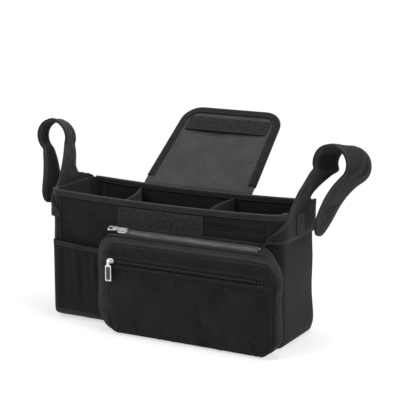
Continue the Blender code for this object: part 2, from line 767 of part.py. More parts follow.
def end_stop(frame, last):
    """The clamped stop at the end of the teeth, between the two tapes."""
    half_width = TOOTH_REACH / 2 - SEAM_GAP
    outline = rounded_rectangle(
        last - END_STOP_LENGTH, last, -half_width, half_width, 0.0005, 2)
    height = TOOTH_THICKNESS / 2 + SLIDER_CLEARANCE + SLIDER_PLATE / 2
    stop = prism("top_zip_end_stop", outline, -height, height, SILVER, 1.0)
    stop.matrix_world = frame


def coil_tape(name, frame, side, first, last, slot):
    """Half of a coil zip: a flat tape with the closed coil as a ridge on its edge."""
    near = SEAM_GAP / 2
    edge = slot / 2 - SEAM_GAP
    half_coil = COIL_THICKNESS / 2
    half_tape = TAPE / 2
    section = [
        (near, -half_coil * 0.6), (COIL_REACH / 2, -half_coil), (COIL_REACH, -half_tape),
        (edge, -half_tape), (edge, half_tape), (COIL_REACH, half_tape),
        (COIL_REACH / 2, half_coil), (near, half_coil * 0.6),
    ]
    outline = [(side * y, z) for y, z in section]
    tape = prism(name, outline, first, last, CHARCOAL)
    along = Matrix(((0, 0, 1, 0), (1, 0, 0, 0), (0, 1, 0, 0), (0, 0, 0, 1)))
    tape.matrix_world = frame @ along
    return tape


def slider_plates(name, carrier, length, width, base_width, chain_thickness):
    """The slider's top plate with its crown, and the plate under the chain."""
    low = chain_thickness / 2 + SLIDER_CLEARANCE
    nose = length * 0.30
    outline = [
        (-length / 2, -width * 0.24), (-length / 2 + nose, -width / 2),
        (length * 0.42, -width / 2), (length / 2, -width * 0.36),
        (length / 2, width * 0.36), (length * 0.42, width / 2),
        (-length / 2 + nose, width / 2), (-length / 2, width * 0.24),
    ]
    top = low + SLIDER_PLATE
    plate = prism(name, outline, low, top, SILVER, 1.0)
    hang_on(plate, carrier)
    reach = length * 0.36
    outer = top + CROWN_HEIGHT + CROWN_BAR
    inner = top + CROWN_HEIGHT
    bite = top - SLIDER_PLATE / 2
    arch = [
        (-reach, bite), (-reach, inner), (-reach + CROWN_BAR, outer),
        (reach - CROWN_BAR, outer), (reach, inner), (reach, bite),
        (reach - CROWN_BAR, bite), (reach - CROWN_BAR, inner),
        (-reach + CROWN_BAR, inner), (-reach + CROWN_BAR, bite),
    ]
    crown = prism(name + "_crown", arch, -CROWN_WIDTH / 2, CROWN_WIDTH / 2, SILVER, 1.0)
    hang_on(crown, carrier)
    crown.rotation_euler = (math.pi / 2, 0, 0)
    join(plate, crown)
    share = base_width / width
    under = [(x, y * share) for x, y in outline]
    lower = prism(name + "_base", under, -low - SLIDER_PLATE, -low, SILVER, 1.0)
    hang_on(lower, carrier)
    return top


def flat_pull(name, carrier, top):
    """The top zip's tab: its end bar lies under the crown and turns there."""
    bar = CROWN_BAR * 1.4
    slot = 0.0062
    left = -TOP_PULL_LENGTH
    half = TOP_PULL_WIDTH / 2
    outline = [
        (bar / 2, -half * 0.72), (bar / 2, half * 0.72), (-slot, half * 0.72),
        (-slot - 0.0015, half), (left + 0.001, half), (left, half - 0.001),
        (left, -half + 0.001), (left + 0.001, -half), (-slot - 0.0015, -half),
        (-slot, -half * 0.72),
    ]
    tab = prism(name, outline, -PULL / 2, PULL / 2, SILVER, 1.0)
    hang_on(tab, carrier, (0, 0, top + CROWN_HEIGHT / 2))
    eye_half = CROWN_WIDTH / 2 + PULL_CLEARANCE
    eye = prism(name + "_eye", rounded_rectangle(-slot, -bar / 2, -eye_half, eye_half, 0.0004, 2),
                -PULL, PULL, BLACK)
    hang_on(eye, tab)
    cut(tab, eye)
    window = prism(name + "_window", rounded_rectangle(
        left + 0.0014, left + 0.0062, -half + 0.0014, half - 0.0014, 0.0004, 2),
        -PULL, PULL, BLACK)
    hang_on(window, tab)
    cut(tab, window)


def curled_pull(name, carrier, top, slider_length):
    """The front zip's tab: a frame that hangs from a curl round the crown's bar.

    In the zip's own frame the tab hangs towards -Y, and Z is out of the face.
    """
    axis_height = top + CROWN_HEIGHT + CROWN_BAR / 2
    inner = math.hypot(CROWN_BAR, CROWN_WIDTH) / 2 + PULL_CLEARANCE / 2
    outer = inner + CURL_WALL
    half_barrel = slider_length * 0.36 - CROWN_BAR - PULL_CLEARANCE
    ring = []
    for degrees in range(-90, 181, 30):
        angle = math.radians(degrees)
        ring.append((outer * math.cos(angle), outer * math.sin(angle)))
    for degrees in range(180, -91, -30):
        angle = math.radians(degrees)
        ring.append((inner * math.cos(angle), inner * math.sin(angle)))
    curl = prism(name + "_curl", ring, -half_barrel, half_barrel, SILVER, 1.0)
    half = FRONT_PULL_WIDTH / 2
    low = -FRONT_PULL_LENGTH
    high = outer * 0.3
    shoulder = low + FRONT_PULL_LENGTH * 0.80
    outline = [
        (-half, low), (half, low), (half, shoulder), (half_barrel, shoulder + 0.0012),
        (half_barrel, high), (-half_barrel, high), (-half_barrel, shoulder + 0.0012),
        (-half, shoulder),
    ]
    tab = prism(name, outline, inner, outer, SILVER, 1.0)
    hang_on(tab, carrier, (0, 0, axis_height))
    hang_on(curl, tab)
    curl.rotation_euler = (0, math.pi / 2, 0)
    window_low = low + PULL_FRAME
    window_high = shoulder - PULL_FRAME
    window = prism(name + "_window", rounded_rectangle(
        -half + PULL_FRAME, half - PULL_FRAME, window_low, window_high, 0.0004, 2),
        -0.004, 0.004, BLACK)
    hang_on(window, tab)
    cut(tab, window)
    join(tab, curl)
    gap = SEAM_GAP
    insert = prism(name + "_insert", rounded_rectangle(
        -half + PULL_FRAME + gap, half - PULL_FRAME - gap,
        window_low + gap, window_high - gap, 0.0004, 2),
        inner, outer - 0.0001, BROWN_BLACK)
    hang_on(insert, tab)


def top_zip():
    frame = top_zip_frame()
    half = (TOP_ZIP_RIGHT - TOP_ZIP_LEFT) / 2 - SEAM_GAP
    toothed_tape("top_zip_upper_tape", frame, 1, -half, half, TOP_ZIP_SLOT)
    toothed_tape("top_zip_lower_tape", frame, -1, -half, half, TOP_ZIP_SLOT)
    end_stop(frame, half)
    place = TOP_SLIDER_X - (TOP_ZIP_LEFT + TOP_ZIP_RIGHT) / 2
    carrier = empty("top_slider_place", frame @ Matrix.Translation((place, 0, 0)))
    base_width = TOP_ZIP_SLOT - 0.002
    top = slider_plates("top_zip_slider", carrier, TOP_SLIDER_LENGTH, TOP_SLIDER_WIDTH,
                        base_width, TOOTH_THICKNESS)
    flat_pull("top_zip_pull", carrier, top)


def front_zip():
    frame = front_zip_frame()
    sunk = frame @ Matrix.Translation((0, 0, -COIL_THICKNESS / 2))
    half = (FRONT_ZIP_RIGHT - FRONT_ZIP_LEFT) / 2 - SEAM_GAP
    coil_tape("front_zip_upper_tape", sunk, 1, -half, half, FRONT_ZIP_SLOT)
    coil_tape("front_zip_lower_tape", sunk, -1, -half, half, FRONT_ZIP_SLOT)
    place = FRONT_SLIDER_X - (FRONT_ZIP_LEFT + FRONT_ZIP_RIGHT) / 2
    carrier = empty("front_slider_place", sunk @ Matrix.Translation((place, 0, 0)))
    base_width = FRONT_ZIP_SLOT - 0.0012
    top = slider_plates("front_zip_slider", carrier, FRONT_SLIDER_LENGTH, FRONT_SLIDER_WIDTH,
                        base_width, COIL_THICKNESS)
    curled_pull("front_zip_pull", carrier, top, FRONT_SLIDER_LENGTH)


def build():
    clear_scene()
    main_walls()
    base()
    rim_tape("front_rim_tape", -1, ALONG_FRONT - SEAM_GAP)
    rim_tape("back_rim_tape", 1, ALONG_FRONT - SEAM_GAP)
    divider("left_divider", LEFT_DIVIDER_FRONT_X, LEFT_DIVIDER_BACK_X)
    divider("right_divider", RIGHT_DIVIDER_FRONT_X, RIGHT_DIVIDER_BACK_X)
    strap(-1, "left")
    strap(1, "right")
    flap()
    flap_binding()
    patches()
    mesh_pocket()
    pouch()
    top_zip()
    front_zip()


build()
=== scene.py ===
# %% [markdown]
# # A stroller organizer in woven cloth, mesh and metal
# The solids of the bag come first, and every piece here is laid over one of them.
# Cloth is made as grids of points, because a grid is easy to bend, fold and measure.
# All lengths are in metres, +X runs along the bag, +Y towards its back, +Z up.

# %% Load the solids
import math

import bmesh
import bpy
import numpy as np
from mathutils import Matrix, Vector, noise


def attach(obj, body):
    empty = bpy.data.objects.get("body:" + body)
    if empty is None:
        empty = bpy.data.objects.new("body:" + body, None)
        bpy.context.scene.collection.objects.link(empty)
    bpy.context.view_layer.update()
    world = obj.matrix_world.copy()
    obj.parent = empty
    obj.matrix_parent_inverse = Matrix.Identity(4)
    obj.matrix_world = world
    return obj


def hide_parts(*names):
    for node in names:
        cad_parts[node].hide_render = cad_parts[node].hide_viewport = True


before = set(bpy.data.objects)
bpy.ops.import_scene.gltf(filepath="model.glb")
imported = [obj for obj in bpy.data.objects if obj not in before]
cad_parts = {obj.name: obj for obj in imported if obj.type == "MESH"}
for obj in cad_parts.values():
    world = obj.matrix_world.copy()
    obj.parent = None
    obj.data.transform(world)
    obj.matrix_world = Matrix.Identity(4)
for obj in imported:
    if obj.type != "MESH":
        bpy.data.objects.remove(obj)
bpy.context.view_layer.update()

# %% [markdown]
# ## Camera and light
# A long lens from the front right, a little above the rim, shows the bag as a shop
# would. Black cloth needs broad lamps: small ones would only make bright points.

# %% Camera
def added(name, data):
    """A new object in the scene, made from its data."""
    thing = bpy.data.objects.new(name, data)
    bpy.context.scene.collection.objects.link(thing)
    return thing


TURN, TILT = math.radians(28.57), math.radians(12.49)
CAMERA_PLACE, LENS = (0.80091, -1.42086, 0.51679), 122.19
to_right = Vector((math.cos(TURN), math.sin(TURN), 0))
to_top = Vector((-math.sin(TURN) * math.sin(TILT), math.cos(TURN) * math.sin(TILT), math.cos(TILT)))
forward = to_top.cross(to_right)
view = added("view", bpy.data.cameras.new("view"))
view.matrix_world = Matrix((to_right, to_top, -forward)).transposed().to_4x4()
view.matrix_world.translation = CAMERA_PLACE
view.data.sensor_width = 36
view.data.lens = LENS
bpy.context.scene.camera = view
bpy.context.scene.view_settings.view_transform = "Standard"
print("camera looks along", tuple(round(part, 3) for part in forward))

# %% Lamps
LIT_POINT = Vector((0, 0, 0.1))
for name, place, size, power in (
        ("key", (-0.8, -1.3, 2.0), 1.0, 27),
        ("side", (2.1, -0.5, 1.0), 1.1, 32),
        ("top", (0.2, 0.3, 2.2), 1.2, 34)):
    glow = bpy.data.lights.new(name, "AREA")
    glow.shape = "DISK"
    glow.size = size
    glow.energy = power
    lamp = added(name, glow)
    lamp.location = place
    lamp.rotation_euler = (LIT_POINT - lamp.location).to_track_quat("-Z", "Y").to_euler()

# %% [markdown]
# ## A small language for finishes
# A finish is a graph of nodes. Written as sums and products it stays readable, so a
# Signal wraps a socket and turns each operator into a Math node. All other nodes come
# from one method, which takes a node's kind, its settings and what its sockets get.


# %% Signals and finishes
class Signal:
    """A number that changes over a surface."""

    def __init__(self, graph, socket):
        self.graph = graph
        self.socket = socket

    def math(self, operation, *others):
        values = dict(enumerate((self, *others)))
        node = self.graph.add("Math", {"operation": operation}, values)
        return Signal(self.graph, node.outputs[0])

    def __add__(self, other):
        return self.math("ADD", other)

    def __sub__(self, other):
        return self.math("SUBTRACT", other)

    def __mul__(self, other):
        return self.math("MULTIPLY", other)

    def __rsub__(self, other):
        return (self * -1) + other

    __radd__ = __add__
    __rmul__ = __mul__

    def over(self, other):
        return self.math("MAXIMUM", other)

    def above(self, limit):
        return self.math("GREATER_THAN", limit)

    def ramp(self, low, high, first=0.0, last=1.0):
        node = self.graph.add("MapRange", {"interpolation_type": "SMOOTHSTEP"}, {
            "Value": self, "From Min": low, "From Max": high, "To Min": first, "To Max": last})
        return Signal(self.graph, node.outputs[0])


class Graph:
    """A tree of shading nodes."""

    def __init__(self, tree):
        self.tree = tree

    def add(self, kind, settings=None, values=None):
        node = self.tree.nodes.new("ShaderNode" + kind)
        for key, value in (settings or {}).items():
            setattr(node, key, value)
        for key, value in (values or {}).items():
            self.feed(node.inputs[key], value)
        return node

    def feed(self, socket, value):
        if isinstance(value, Signal):
            value = value.socket
        if isinstance(value, bpy.types.NodeSocket):
            self.tree.links.new(value, socket)
        else:
            socket.default_value = value

    def space(self):
        return self.add("TexCoord").outputs["Object"]


class Finish(Graph):
    """A material whose Principled shader is fed by signals and colours."""

    def __init__(self, name, **settings):
        self.material = bpy.data.materials.new(name)
        self.material.use_nodes = True
        super().__init__(self.material.node_tree)
        self.shader = self.tree.nodes["Principled BSDF"]
        self.set(**settings)

    def set(self, **settings):
        for key, value in settings.items():
            self.feed(self.shader.inputs[key.replace("_", " ")], value)

    def plane(self):
        """The cloth's own axes: metres across it and along it."""
        split = self.add("SeparateXYZ", values={0: self.add("TexCoord").outputs["UV"]})
        return Signal(self, split.outputs[0]), Signal(self, split.outputs[1])

    def point(self, x, y):
        return self.add("CombineXYZ", values={0: x, 1: y}).outputs[0]

    def noise(self, where, scale, detail=2.0):
        node = self.add("TexNoise", values={"Vector": where, "Scale": scale, "Detail": detail})
        return Signal(self, node.outputs[0])

    def mix(self, share, first, second):
        node = self.add("Mix", {"data_type": "RGBA"}, {0: share, 6: (*first, 1), 7: (*second, 1)})
        return node.outputs[2]

    def relief(self, height, depth, strength=1.0):
        node = self.add("Bump", values={"Height": height, "Distance": depth, "Strength": strength})
        self.set(Normal=node.outputs[0])


print("finishes are graphs on the Principled shader")

# %% [markdown]
# ## Woven cloth
# Plain weave: at each crossing one thread lies on top, and the next time the other
# one does. Two cosines give the round threads, and their product tells which is up.


# %% Woven finishes
def woven(name, dark, light, pitch, streak=1.0, roughness=0.9, sheen=0.07, depth=0.35):
    finish = Finish(name)
    across, along = finish.plane()
    x, y = across * (1 / pitch), along * (1 / pitch)
    warp, weft = (x * math.pi).math("COSINE"), (y * math.pi).math("COSINE")
    crossing = warp * weft
    warp_up = warp.math("ABSOLUTE") + crossing * 0.6
    weft_up = weft.math("ABSOLUTE") - crossing * 0.6
    warp_tone = finish.noise(finish.point(x, y * 0.05), 0.7)
    weft_tone = finish.noise(finish.point(x * 0.05, y), 0.7)
    is_warp = crossing.above(0.0)
    thread_tone = warp_tone * is_warp + weft_tone * (1 - is_warp)
    cloud = finish.noise(finish.point(across, along), 28.0, 3.0)
    fleck = finish.noise(finish.point(across, along), 420.0, 2.0)
    tone = (thread_tone - 0.5) * streak + (cloud - 0.5) * 0.7 + (fleck - 0.5) * 1.1 + 0.5
    finish.set(Base_Color=finish.mix(tone.ramp(0.1, 0.9), dark, light))
    finish.set(Roughness=thread_tone * 0.12 + roughness - 0.06)
    finish.set(Sheen_Weight=sheen, Sheen_Roughness=0.45, Specular_IOR_Level=0.12)
    finish.relief(warp_up.over(weft_up), pitch * depth, 0.8)
    return finish.material


OUTER = woven("charcoal_weave", (0.0022, 0.0022, 0.0023), (0.0112, 0.0112, 0.0116), 0.00062)
# The gusset has the walls' weave made lighter: painted light for the light that falls on its top and sides.
GUSSET_PAINTED_LIGHT = woven("gusset_weave_painted_light", (0.0040, 0.0040, 0.0042), (0.0165, 0.0165, 0.0170), 0.00062)
LINING = woven("grey_lining", (0.016, 0.016, 0.017), (0.046, 0.046, 0.047), 0.00030, 0.4, 0.6, 0.05)
INSIDE = woven("black_lining", (0.005, 0.005, 0.006), (0.013, 0.013, 0.014), 0.00030, 0.4, 0.6, 0.05)
ZIP_CLOTH = woven("zip_cloth", (0.003, 0.003, 0.004), (0.010, 0.010, 0.011), 0.00045, 0.5, 0.75)
print("woven finishes:", [finish.name for finish in (OUTER, GUSSET_PAINTED_LIGHT, LINING, INSIDE, ZIP_CLOTH)])


# %% Ribbed tape, elastic, pile and hooks
def ribbed(name, dark, light, rib, roughness):
    finish = Finish(name, Roughness=roughness, Sheen_Weight=0.06, Specular_IOR_Level=0.2)
    across, along = finish.plane()
    ribs = (along * (2 * math.pi / rib)).math("SINE") * 0.5 + 0.5
    cloud = finish.noise(finish.point(across, along), 60.0)
    # Rib crests are a little lighter and the grooves darker: painted shade in the grooves, with random
    # mottling.
    finish.set(Base_Color=finish.mix((ribs * 0.22 + cloud * 0.78).ramp(0.15, 0.85), dark, light))
    finish.relief(ribs, rib * 0.2, 0.5)
    return finish.material


def tufted(name, dark, light, spacing, roughness, sheen):
    finish = Finish(name, Roughness=roughness, Sheen_Weight=sheen, Specular_IOR_Level=0.15)
    tufts = finish.add("TexVoronoi", {"feature": "F1"}, {
        "Vector": finish.space(), "Scale": 1 / spacing, "Randomness": 0.75})
    far = Signal(finish, tufts.outputs["Distance"])
    fuzz = finish.noise(finish.space(), 0.3 / spacing, 4.0)
    worn = finish.noise(finish.space(), 0.45 / spacing, 3.0)
    height = (1 - far) * 0.5 + fuzz * 0.6
    # Tuft tops are lighter and the hollows darker: painted shade in the hollows, with random mottling.
    tone = height * 0.6 + worn * 0.75 - 0.08
    finish.set(Base_Color=finish.mix(tone.ramp(0.40, 0.78), dark, light))
    finish.relief(height, spacing * 0.6)
    return finish.material


TAPE = ribbed("binding_tape", (0.0035, 0.0035, 0.0040), (0.012, 0.012, 0.0125), 0.0009, 0.7)
ELASTIC = ribbed("elastic_hem", (0.0035, 0.0035, 0.0045), (0.012, 0.012, 0.0135), 0.0016, 0.7)
LOOP_PILE = tufted("loop_pile", (0.0025, 0.0025, 0.0026), (0.0250, 0.0250, 0.0255), 0.0009, 0.95, 0.06)
HOOKS = tufted("hooks", (0.0008, 0.0008, 0.0009), (0.0130, 0.0130, 0.0134), 0.0013, 0.8, 0.0)
print("tapes and patches:", [finish.name for finish in (TAPE, ELASTIC, LOOP_PILE, HOOKS)])


# %% Mesh, thread, metal and the rest
def knit_mesh(name, spacing):
    finish = Finish(name, Roughness=0.6, Sheen_Weight=0.03, Specular_IOR_Level=0.2)
    finish.set(Base_Color=(0.0050, 0.0052, 0.0070, 1))
    across, along = finish.plane()
    x, y = across * (math.pi / spacing), along * (math.pi / (spacing * 0.8))
    first = (x + y).math("SINE").math("ABSOLUTE")
    second = (x - y).math("SINE").math("ABSOLUTE")
    thread = first.math("MINIMUM", second)
    finish.set(Alpha=1 - thread.ramp(0.50, 0.62))
    finish.relief(1 - thread, 0.0003, 0.6)
    return finish.material


def metal(name, colour, roughness, wear):
    finish = Finish(name, Metallic=1.0)
    grain = finish.noise(finish.space(), 900.0, 3.0)
    patch = finish.noise(finish.space(), 120.0)
    finish.set(Base_Color=finish.mix(patch.ramp(0.3, 0.8), colour, [part * wear for part in colour]))
    finish.set(Roughness=grain * 0.18 + roughness)
    return finish.material


def plain(name, dark, light, scale, roughness, depth):
    finish = Finish(name)
    grain = finish.noise(finish.space(), scale, 4.0)
    finish.set(Base_Color=finish.mix(grain.ramp(0.3, 0.7), dark, light), Roughness=grain * 0.2 + roughness)
    finish.relief(grain, depth, 0.6)
    return finish.material


MESH = knit_mesh("pocket_mesh", 0.0017)
TEETH = metal("tooth_metal", (0.30, 0.30, 0.30), 0.26, 0.45)
SILVER = metal("slider_metal", (0.74, 0.74, 0.76), 0.2, 0.9)
THREAD = plain("sewing_thread", (0.010, 0.010, 0.011), (0.030, 0.030, 0.031), 2500.0, 0.55, 0.0001)
COIL = plain("nylon_coil", (0.010, 0.010, 0.011), (0.024, 0.024, 0.025), 900.0, 0.3, 0.00005)
INSERT = plain("pull_insert", (0.016, 0.011, 0.010), (0.040, 0.030, 0.027), 1500.0, 0.45, 0.0001)
print("other finishes:", [finish.name for finish in (MESH, TEETH, SILVER, THREAD, COIL, INSERT)])


# %% [markdown]
# ## Floor
# A pale floor. To the camera and in reflections it is nearly white by itself, and the
# part of it that takes light keeps a soft shadow under the bag.

# %% Floor and backdrop
def backdrop(graph, lit, own_light, share):
    """Own light in place of lamp light by a share, to the camera and in reflections."""
    path = graph.add("LightPath")
    seen = graph.add("Math", {"operation": "ADD", "use_clamp": True},
                     {0: path.outputs["Is Camera Ray"], 1: path.outputs["Is Glossy Ray"]})
    taken = Signal(graph, seen.outputs[0]) * share
    return graph.add("MixShader", values={0: taken, 1: lit, 2: own_light}).outputs[0]


WHITE = (1, 1, 1, 1)
FLOOR_HALF, UNDER_BAG, FADE_START, FADE_END = 9, 0.62, 0.24, 0.62
floor_mesh = bpy.data.meshes.new("floor")
floor_corners = [(x * FLOOR_HALF, y * FLOOR_HALF, 0) for x, y in ((-1, -1), (1, -1), (1, 1), (-1, 1))]
floor_mesh.from_pydata(floor_corners, [], [(0, 1, 2, 3)])
floor = added("floor", floor_mesh)
floor.location.z = -0.0002
pale = Finish("pale_floor", Base_Color=(0.88, 0.88, 0.88, 1), Roughness=0.9)
from_bag = pale.add("VectorMath", {"operation": "LENGTH"}, {0: pale.space()})
own_share = Signal(pale, from_bag.outputs["Value"]).ramp(FADE_START, FADE_END, UNDER_BAG, 1.0)
own_light = pale.add("Emission").outputs[0]
pale.feed(pale.tree.nodes["Material Output"].inputs[0],
          backdrop(pale, pale.shader.outputs[0], own_light, own_share))
floor_mesh.materials.append(pale.material)
sky = bpy.data.worlds.new("studio")
bpy.context.scene.world = sky
sky.use_nodes = True
studio = Graph(sky.node_tree)
dim = studio.tree.nodes["Background"]
studio.feed(dim.inputs[0], WHITE)
studio.feed(dim.inputs[1], 0.45)
bright = studio.add("Background", values={0: WHITE, 1: 1.0})
studio.feed(studio.tree.nodes["World Output"].inputs[0],
            backdrop(studio, dim.outputs[0], bright.outputs[0], 1.0))
print("floor and backdrop are white to the camera")

# %% [markdown]
# ## Sizes of the bag
# The cloth follows the same outlines as the solids, so their sizes are needed again.

# %% Sizes
HALF_LENGTH, HALF_DEPTH, BAG_HEIGHT, RIM_SAG = 0.160, 0.050, 0.162, 0.0037
PLAN_CORNER, BASE_CORNER, BASE_FLANGE, PANEL = 0.014, 0.007, 0.002, 0.003
SIDE_LAP, GAP = 0.004, 0.0003
ALONG_FRONT = HALF_LENGTH - PLAN_CORNER
ROUND_CORNER = math.pi / 2 * PLAN_CORNER
ALONG_SIDE = 2 * (HALF_DEPTH - PLAN_CORNER)
SIDE_MIDDLE = ALONG_FRONT + ROUND_CORNER + ALONG_SIDE / 2
HALF_ROUND = 2 * SIDE_MIDDLE
SIDES = ((-1, "left"), (1, "right"))


def outline(distance, offset=0.0):
    """A point of the bag's outline seen from above, at a way round it from the front's middle."""
    side, way = (-1 if distance < 0 else 1), abs(distance)
    corner = Vector((HALF_LENGTH - PLAN_CORNER, HALF_DEPTH - PLAN_CORNER))
    first_round = ALONG_FRONT + ROUND_CORNER
    second_corner = first_round + ALONG_SIDE
    if way <= ALONG_FRONT:
        spot, out = Vector((way, -HALF_DEPTH)), Vector((0, -1))
    elif way <= first_round:
        angle = (way - ALONG_FRONT) / PLAN_CORNER
        out = Vector((math.sin(angle), -math.cos(angle)))
        spot = Vector((corner.x, -corner.y)) + PLAN_CORNER * out
    elif way <= second_corner:
        spot, out = Vector((HALF_LENGTH, way - first_round - corner.y)), Vector((1, 0))
    elif way <= second_corner + ROUND_CORNER:
        angle = (way - second_corner) / PLAN_CORNER
        out = Vector((math.cos(angle), math.sin(angle)))
        spot = corner + PLAN_CORNER * out
    else:
        spot, out = Vector((HALF_ROUND - way, HALF_DEPTH)), Vector((0, 1))
    spot += out * offset
    return spot.x * side, spot.y


def rim_height(x):
    return BAG_HEIGHT - RIM_SAG * (1 - (x / HALF_LENGTH) ** 2)


print("half way round the bag:", round(HALF_ROUND, 4))


# %% [markdown]
# ## Cloth from a grid
# A sheet of cloth is a grid of points on its outer face. It is made smooth, pushed in
# and out for folds, and given a thickness and a round edge at the end. Its UV map is in
# metres, so that the weave keeps its size on every piece.

# %% Grids
def smooth_line(points, count):
    """Evenly spaced points on a smooth curve through the first axis of an array."""
    points = np.asarray(points, float)
    steps = np.linalg.norm(np.diff(points, axis=0), axis=-1)
    steps = steps if steps.ndim == 1 else steps.mean(axis=1)
    place = np.concatenate([[0], np.cumsum(steps)])
    wanted = np.linspace(0, place[-1], count)
    index = np.clip(np.searchsorted(place, wanted, side="right") - 1, 0, len(place) - 2)
    shape = (-1,) + (1,) * (points.ndim - 1)
    span = (place[index + 1] - place[index]).reshape(shape)
    share = (wanted - place[index]).reshape(shape) / span
    slope = np.gradient(points, place, axis=0)
    start, end = points[index], points[index + 1]
    leave, arrive = slope[index] * span, slope[index + 1] * span
    square, cube = share ** 2, share ** 3
    return ((2 * cube - 3 * square + 1) * start + (cube - 2 * square + share) * leave
            + (3 * square - 2 * cube) * end + (cube - square) * arrive)


def smooth_grid(rows, down, across):
    finer = smooth_line(rows, down)
    return smooth_line(finer.transpose(1, 0, 2), across).transpose(1, 0, 2)


def measures(grid):
    """Ways across and along the cloth at each point, the first from the row's middle."""
    across = np.linalg.norm(np.diff(grid, axis=1), axis=2)
    across = np.concatenate([np.zeros((len(grid), 1)), np.cumsum(across, axis=1)], axis=1)
    along = np.linalg.norm(np.diff(grid, axis=0), axis=2)
    along = np.concatenate([np.zeros((1, grid.shape[1])), np.cumsum(along, axis=0)])
    return across - across[:, -1:] / 2, along


def edge_way(grid):
    """How far each point lies from the nearest edge of the cloth."""
    across, along = measures(grid)
    return np.minimum(np.minimum(across - across[:, :1], across[:, -1:] - across),
                      np.minimum(along, along[-1:] - along))


def facing(grid):
    """Directions square to the cloth."""
    normal = np.cross(np.gradient(grid, axis=1), np.gradient(grid, axis=0))
    return normal / np.maximum(np.linalg.norm(normal, axis=2, keepdims=True), 1e-12)


def sense_of(grid, outward):
    """1 where the cloth at its middle faces this way, -1 where its other side does."""
    rows, columns = grid.shape[:2]
    return 1 if float(np.dot(facing(grid)[rows // 2, columns // 2], outward)) > 0 else -1


def pushed(grid, amount, sense):
    return grid + facing(grid) * (sense * np.asarray(amount))[..., None]


def rumple(grid, size, seed):
    """Soft unevenness from -1 to 1, with lumps of about this size."""
    flat = grid.reshape(-1, 3) / size + seed * 7.3
    values = [noise.noise(Vector(point)) for point in flat]
    return np.array(values).reshape(grid.shape[:2])


def bump_at(values, middle, width):
    return np.exp(-((values - middle) / width) ** 2)


def rise(values, start, full):
    """0 up to the start, 1 from full on, and straight between; it falls where full is the lower."""
    return np.clip((values - start) / (full - start), 0, 1)


def mix(first, last, share):
    return first + (last - first) * share


print("a grid is rows by points by three")


# %% Finishing a piece
def plain_mesh(piece):
    """The piece with its modifiers worked into its mesh."""
    bpy.context.view_layer.update()
    shape = piece.evaluated_get(bpy.context.evaluated_depsgraph_get())
    result = bpy.data.meshes.new_from_object(shape)
    piece.modifiers.clear()
    piece.data = result
    return piece


def place_piece(piece, body, replaced=()):
    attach(piece, body)
    if replaced:
        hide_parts(*replaced)


def shaded(mesh, degrees):
    """Smooth shading, broken where two faces meet at more than this angle."""
    mesh.shade_smooth()
    mesh.set_sharp_from_angle(angle=math.radians(degrees))


def round_edges(piece, width, degrees):
    """A modifier that rounds each edge where two faces meet at more than this angle."""
    soft = piece.modifiers.new("edge", "BEVEL")
    soft.width = width
    soft.segments = 3
    soft.limit_method = "ANGLE"
    soft.angle_limit = math.radians(degrees)


# %% Shells
def grid_faces(grid, outward):
    """The point numbers of the grid's squares, in the order that makes them face outward."""
    rows, columns = grid.shape[:2]
    index = np.arange(rows * columns).reshape(rows, columns)
    quads = np.stack([index[:-1, :-1], index[:-1, 1:], index[1:, 1:], index[1:, :-1]], axis=-1)
    return quads.reshape(-1, 4)[:, ::sense_of(grid, outward)]


def cloth(name, grid, thickness, finishes, outward, edge, band=0.0, closed=False, cutter=None,
          opening=None):
    """Cloth laid through a grid of its outer face; outward is a direction at its middle.

    The finishes are those of the outer face, the inner face and a band along the edges.
    An opening is a map of the points inside it, and its squares are left out.
    """
    quads = grid_faces(grid, outward)
    if opening is not None:
        quads = quads[~opening.reshape(-1)[quads].all(axis=1)]
    shape = bpy.data.meshes.new(name)
    shape.from_pydata(grid.reshape(-1, 3).tolist(), [], quads.tolist())
    layer = shape.uv_layers.new(name="cloth")
    flat = np.stack(measures(grid), axis=-1).reshape(-1, 2)
    corners = np.empty(len(shape.loops), int)
    shape.loops.foreach_get("vertex_index", corners)
    layer.data.foreach_set("uv", flat[corners].astype(np.float32).ravel())
    for finish in finishes:
        shape.materials.append(finish)
    if band:
        near = edge_way(grid).reshape(-1)[quads].mean(axis=1) < band
        shape.polygons.foreach_set("material_index", np.where(near, 2, 0).astype(np.int32))
    if closed:
        work = bmesh.new()
        work.from_mesh(shape)
        bmesh.ops.remove_doubles(work, verts=work.verts, dist=0.00002)
        work.to_mesh(shape)
        work.free()
    piece = added(name, shape)
    wall = piece.modifiers.new("wall", "SOLIDIFY")
    wall.thickness = thickness
    wall.offset = -1
    wall.use_even_offset = True
    wall.use_quality_normals = True
    wall.material_offset = 1 if len(finishes) > 1 and not band else 0
    if edge:
        round_edges(piece, edge, 55)
    if cutter is not None:
        hole = piece.modifiers.new("slot", "BOOLEAN")
        hole.operation = "DIFFERENCE"
        hole.solver = "EXACT"
        hole.object = cutter
    plain_mesh(piece)
    shaded(piece.data, 50)
    return piece


print("cloth() makes one closed piece from a grid")


# %% Seams
stitch_lines = []


def sew(line):
    """Remember a line of stitches, given as points a little off the cloth's face."""
    stitch_lines.append(np.asarray(line, float))


def sew_edges(grid, inset, sense, lift=0.00018, sides=(-1, 1)):
    """Sew along the side edges of the cloth, at a way in from them."""
    across, _ = measures(grid)
    normal = facing(grid) * sense
    for side in sides:
        wanted = across[:, 0] + inset if side < 0 else across[:, -1] - inset
        line = []
        for row in range(len(grid)):
            spot = [np.interp(wanted[row], across[row], grid[row, :, axis]) for axis in range(3)]
            lean = [np.interp(wanted[row], across[row], normal[row, :, axis]) for axis in range(3)]
            line.append(np.array(spot) + np.array(lean) * lift)
        sew(line)


def sew_first_row(grid, inset, sense):
    """Sew along the first row of the cloth. With rows and columns swapped it faces the other way."""
    sew_edges(grid.transpose(1, 0, 2), inset, -sense, sides=(-1,))


print("seams are kept as lines until all cloth is laid")

# %% [markdown]
# ## Cloth that moves by itself
# Cloth sewn down along its edges swells and creases between the seams, as the pouch's
# face does. A short cloth simulation finds those creases: the seams are held, the cloth
# is a little too large, and a little pressure stands for the padding. The way a point
# may move is capped, so that the form stays that of the solid.

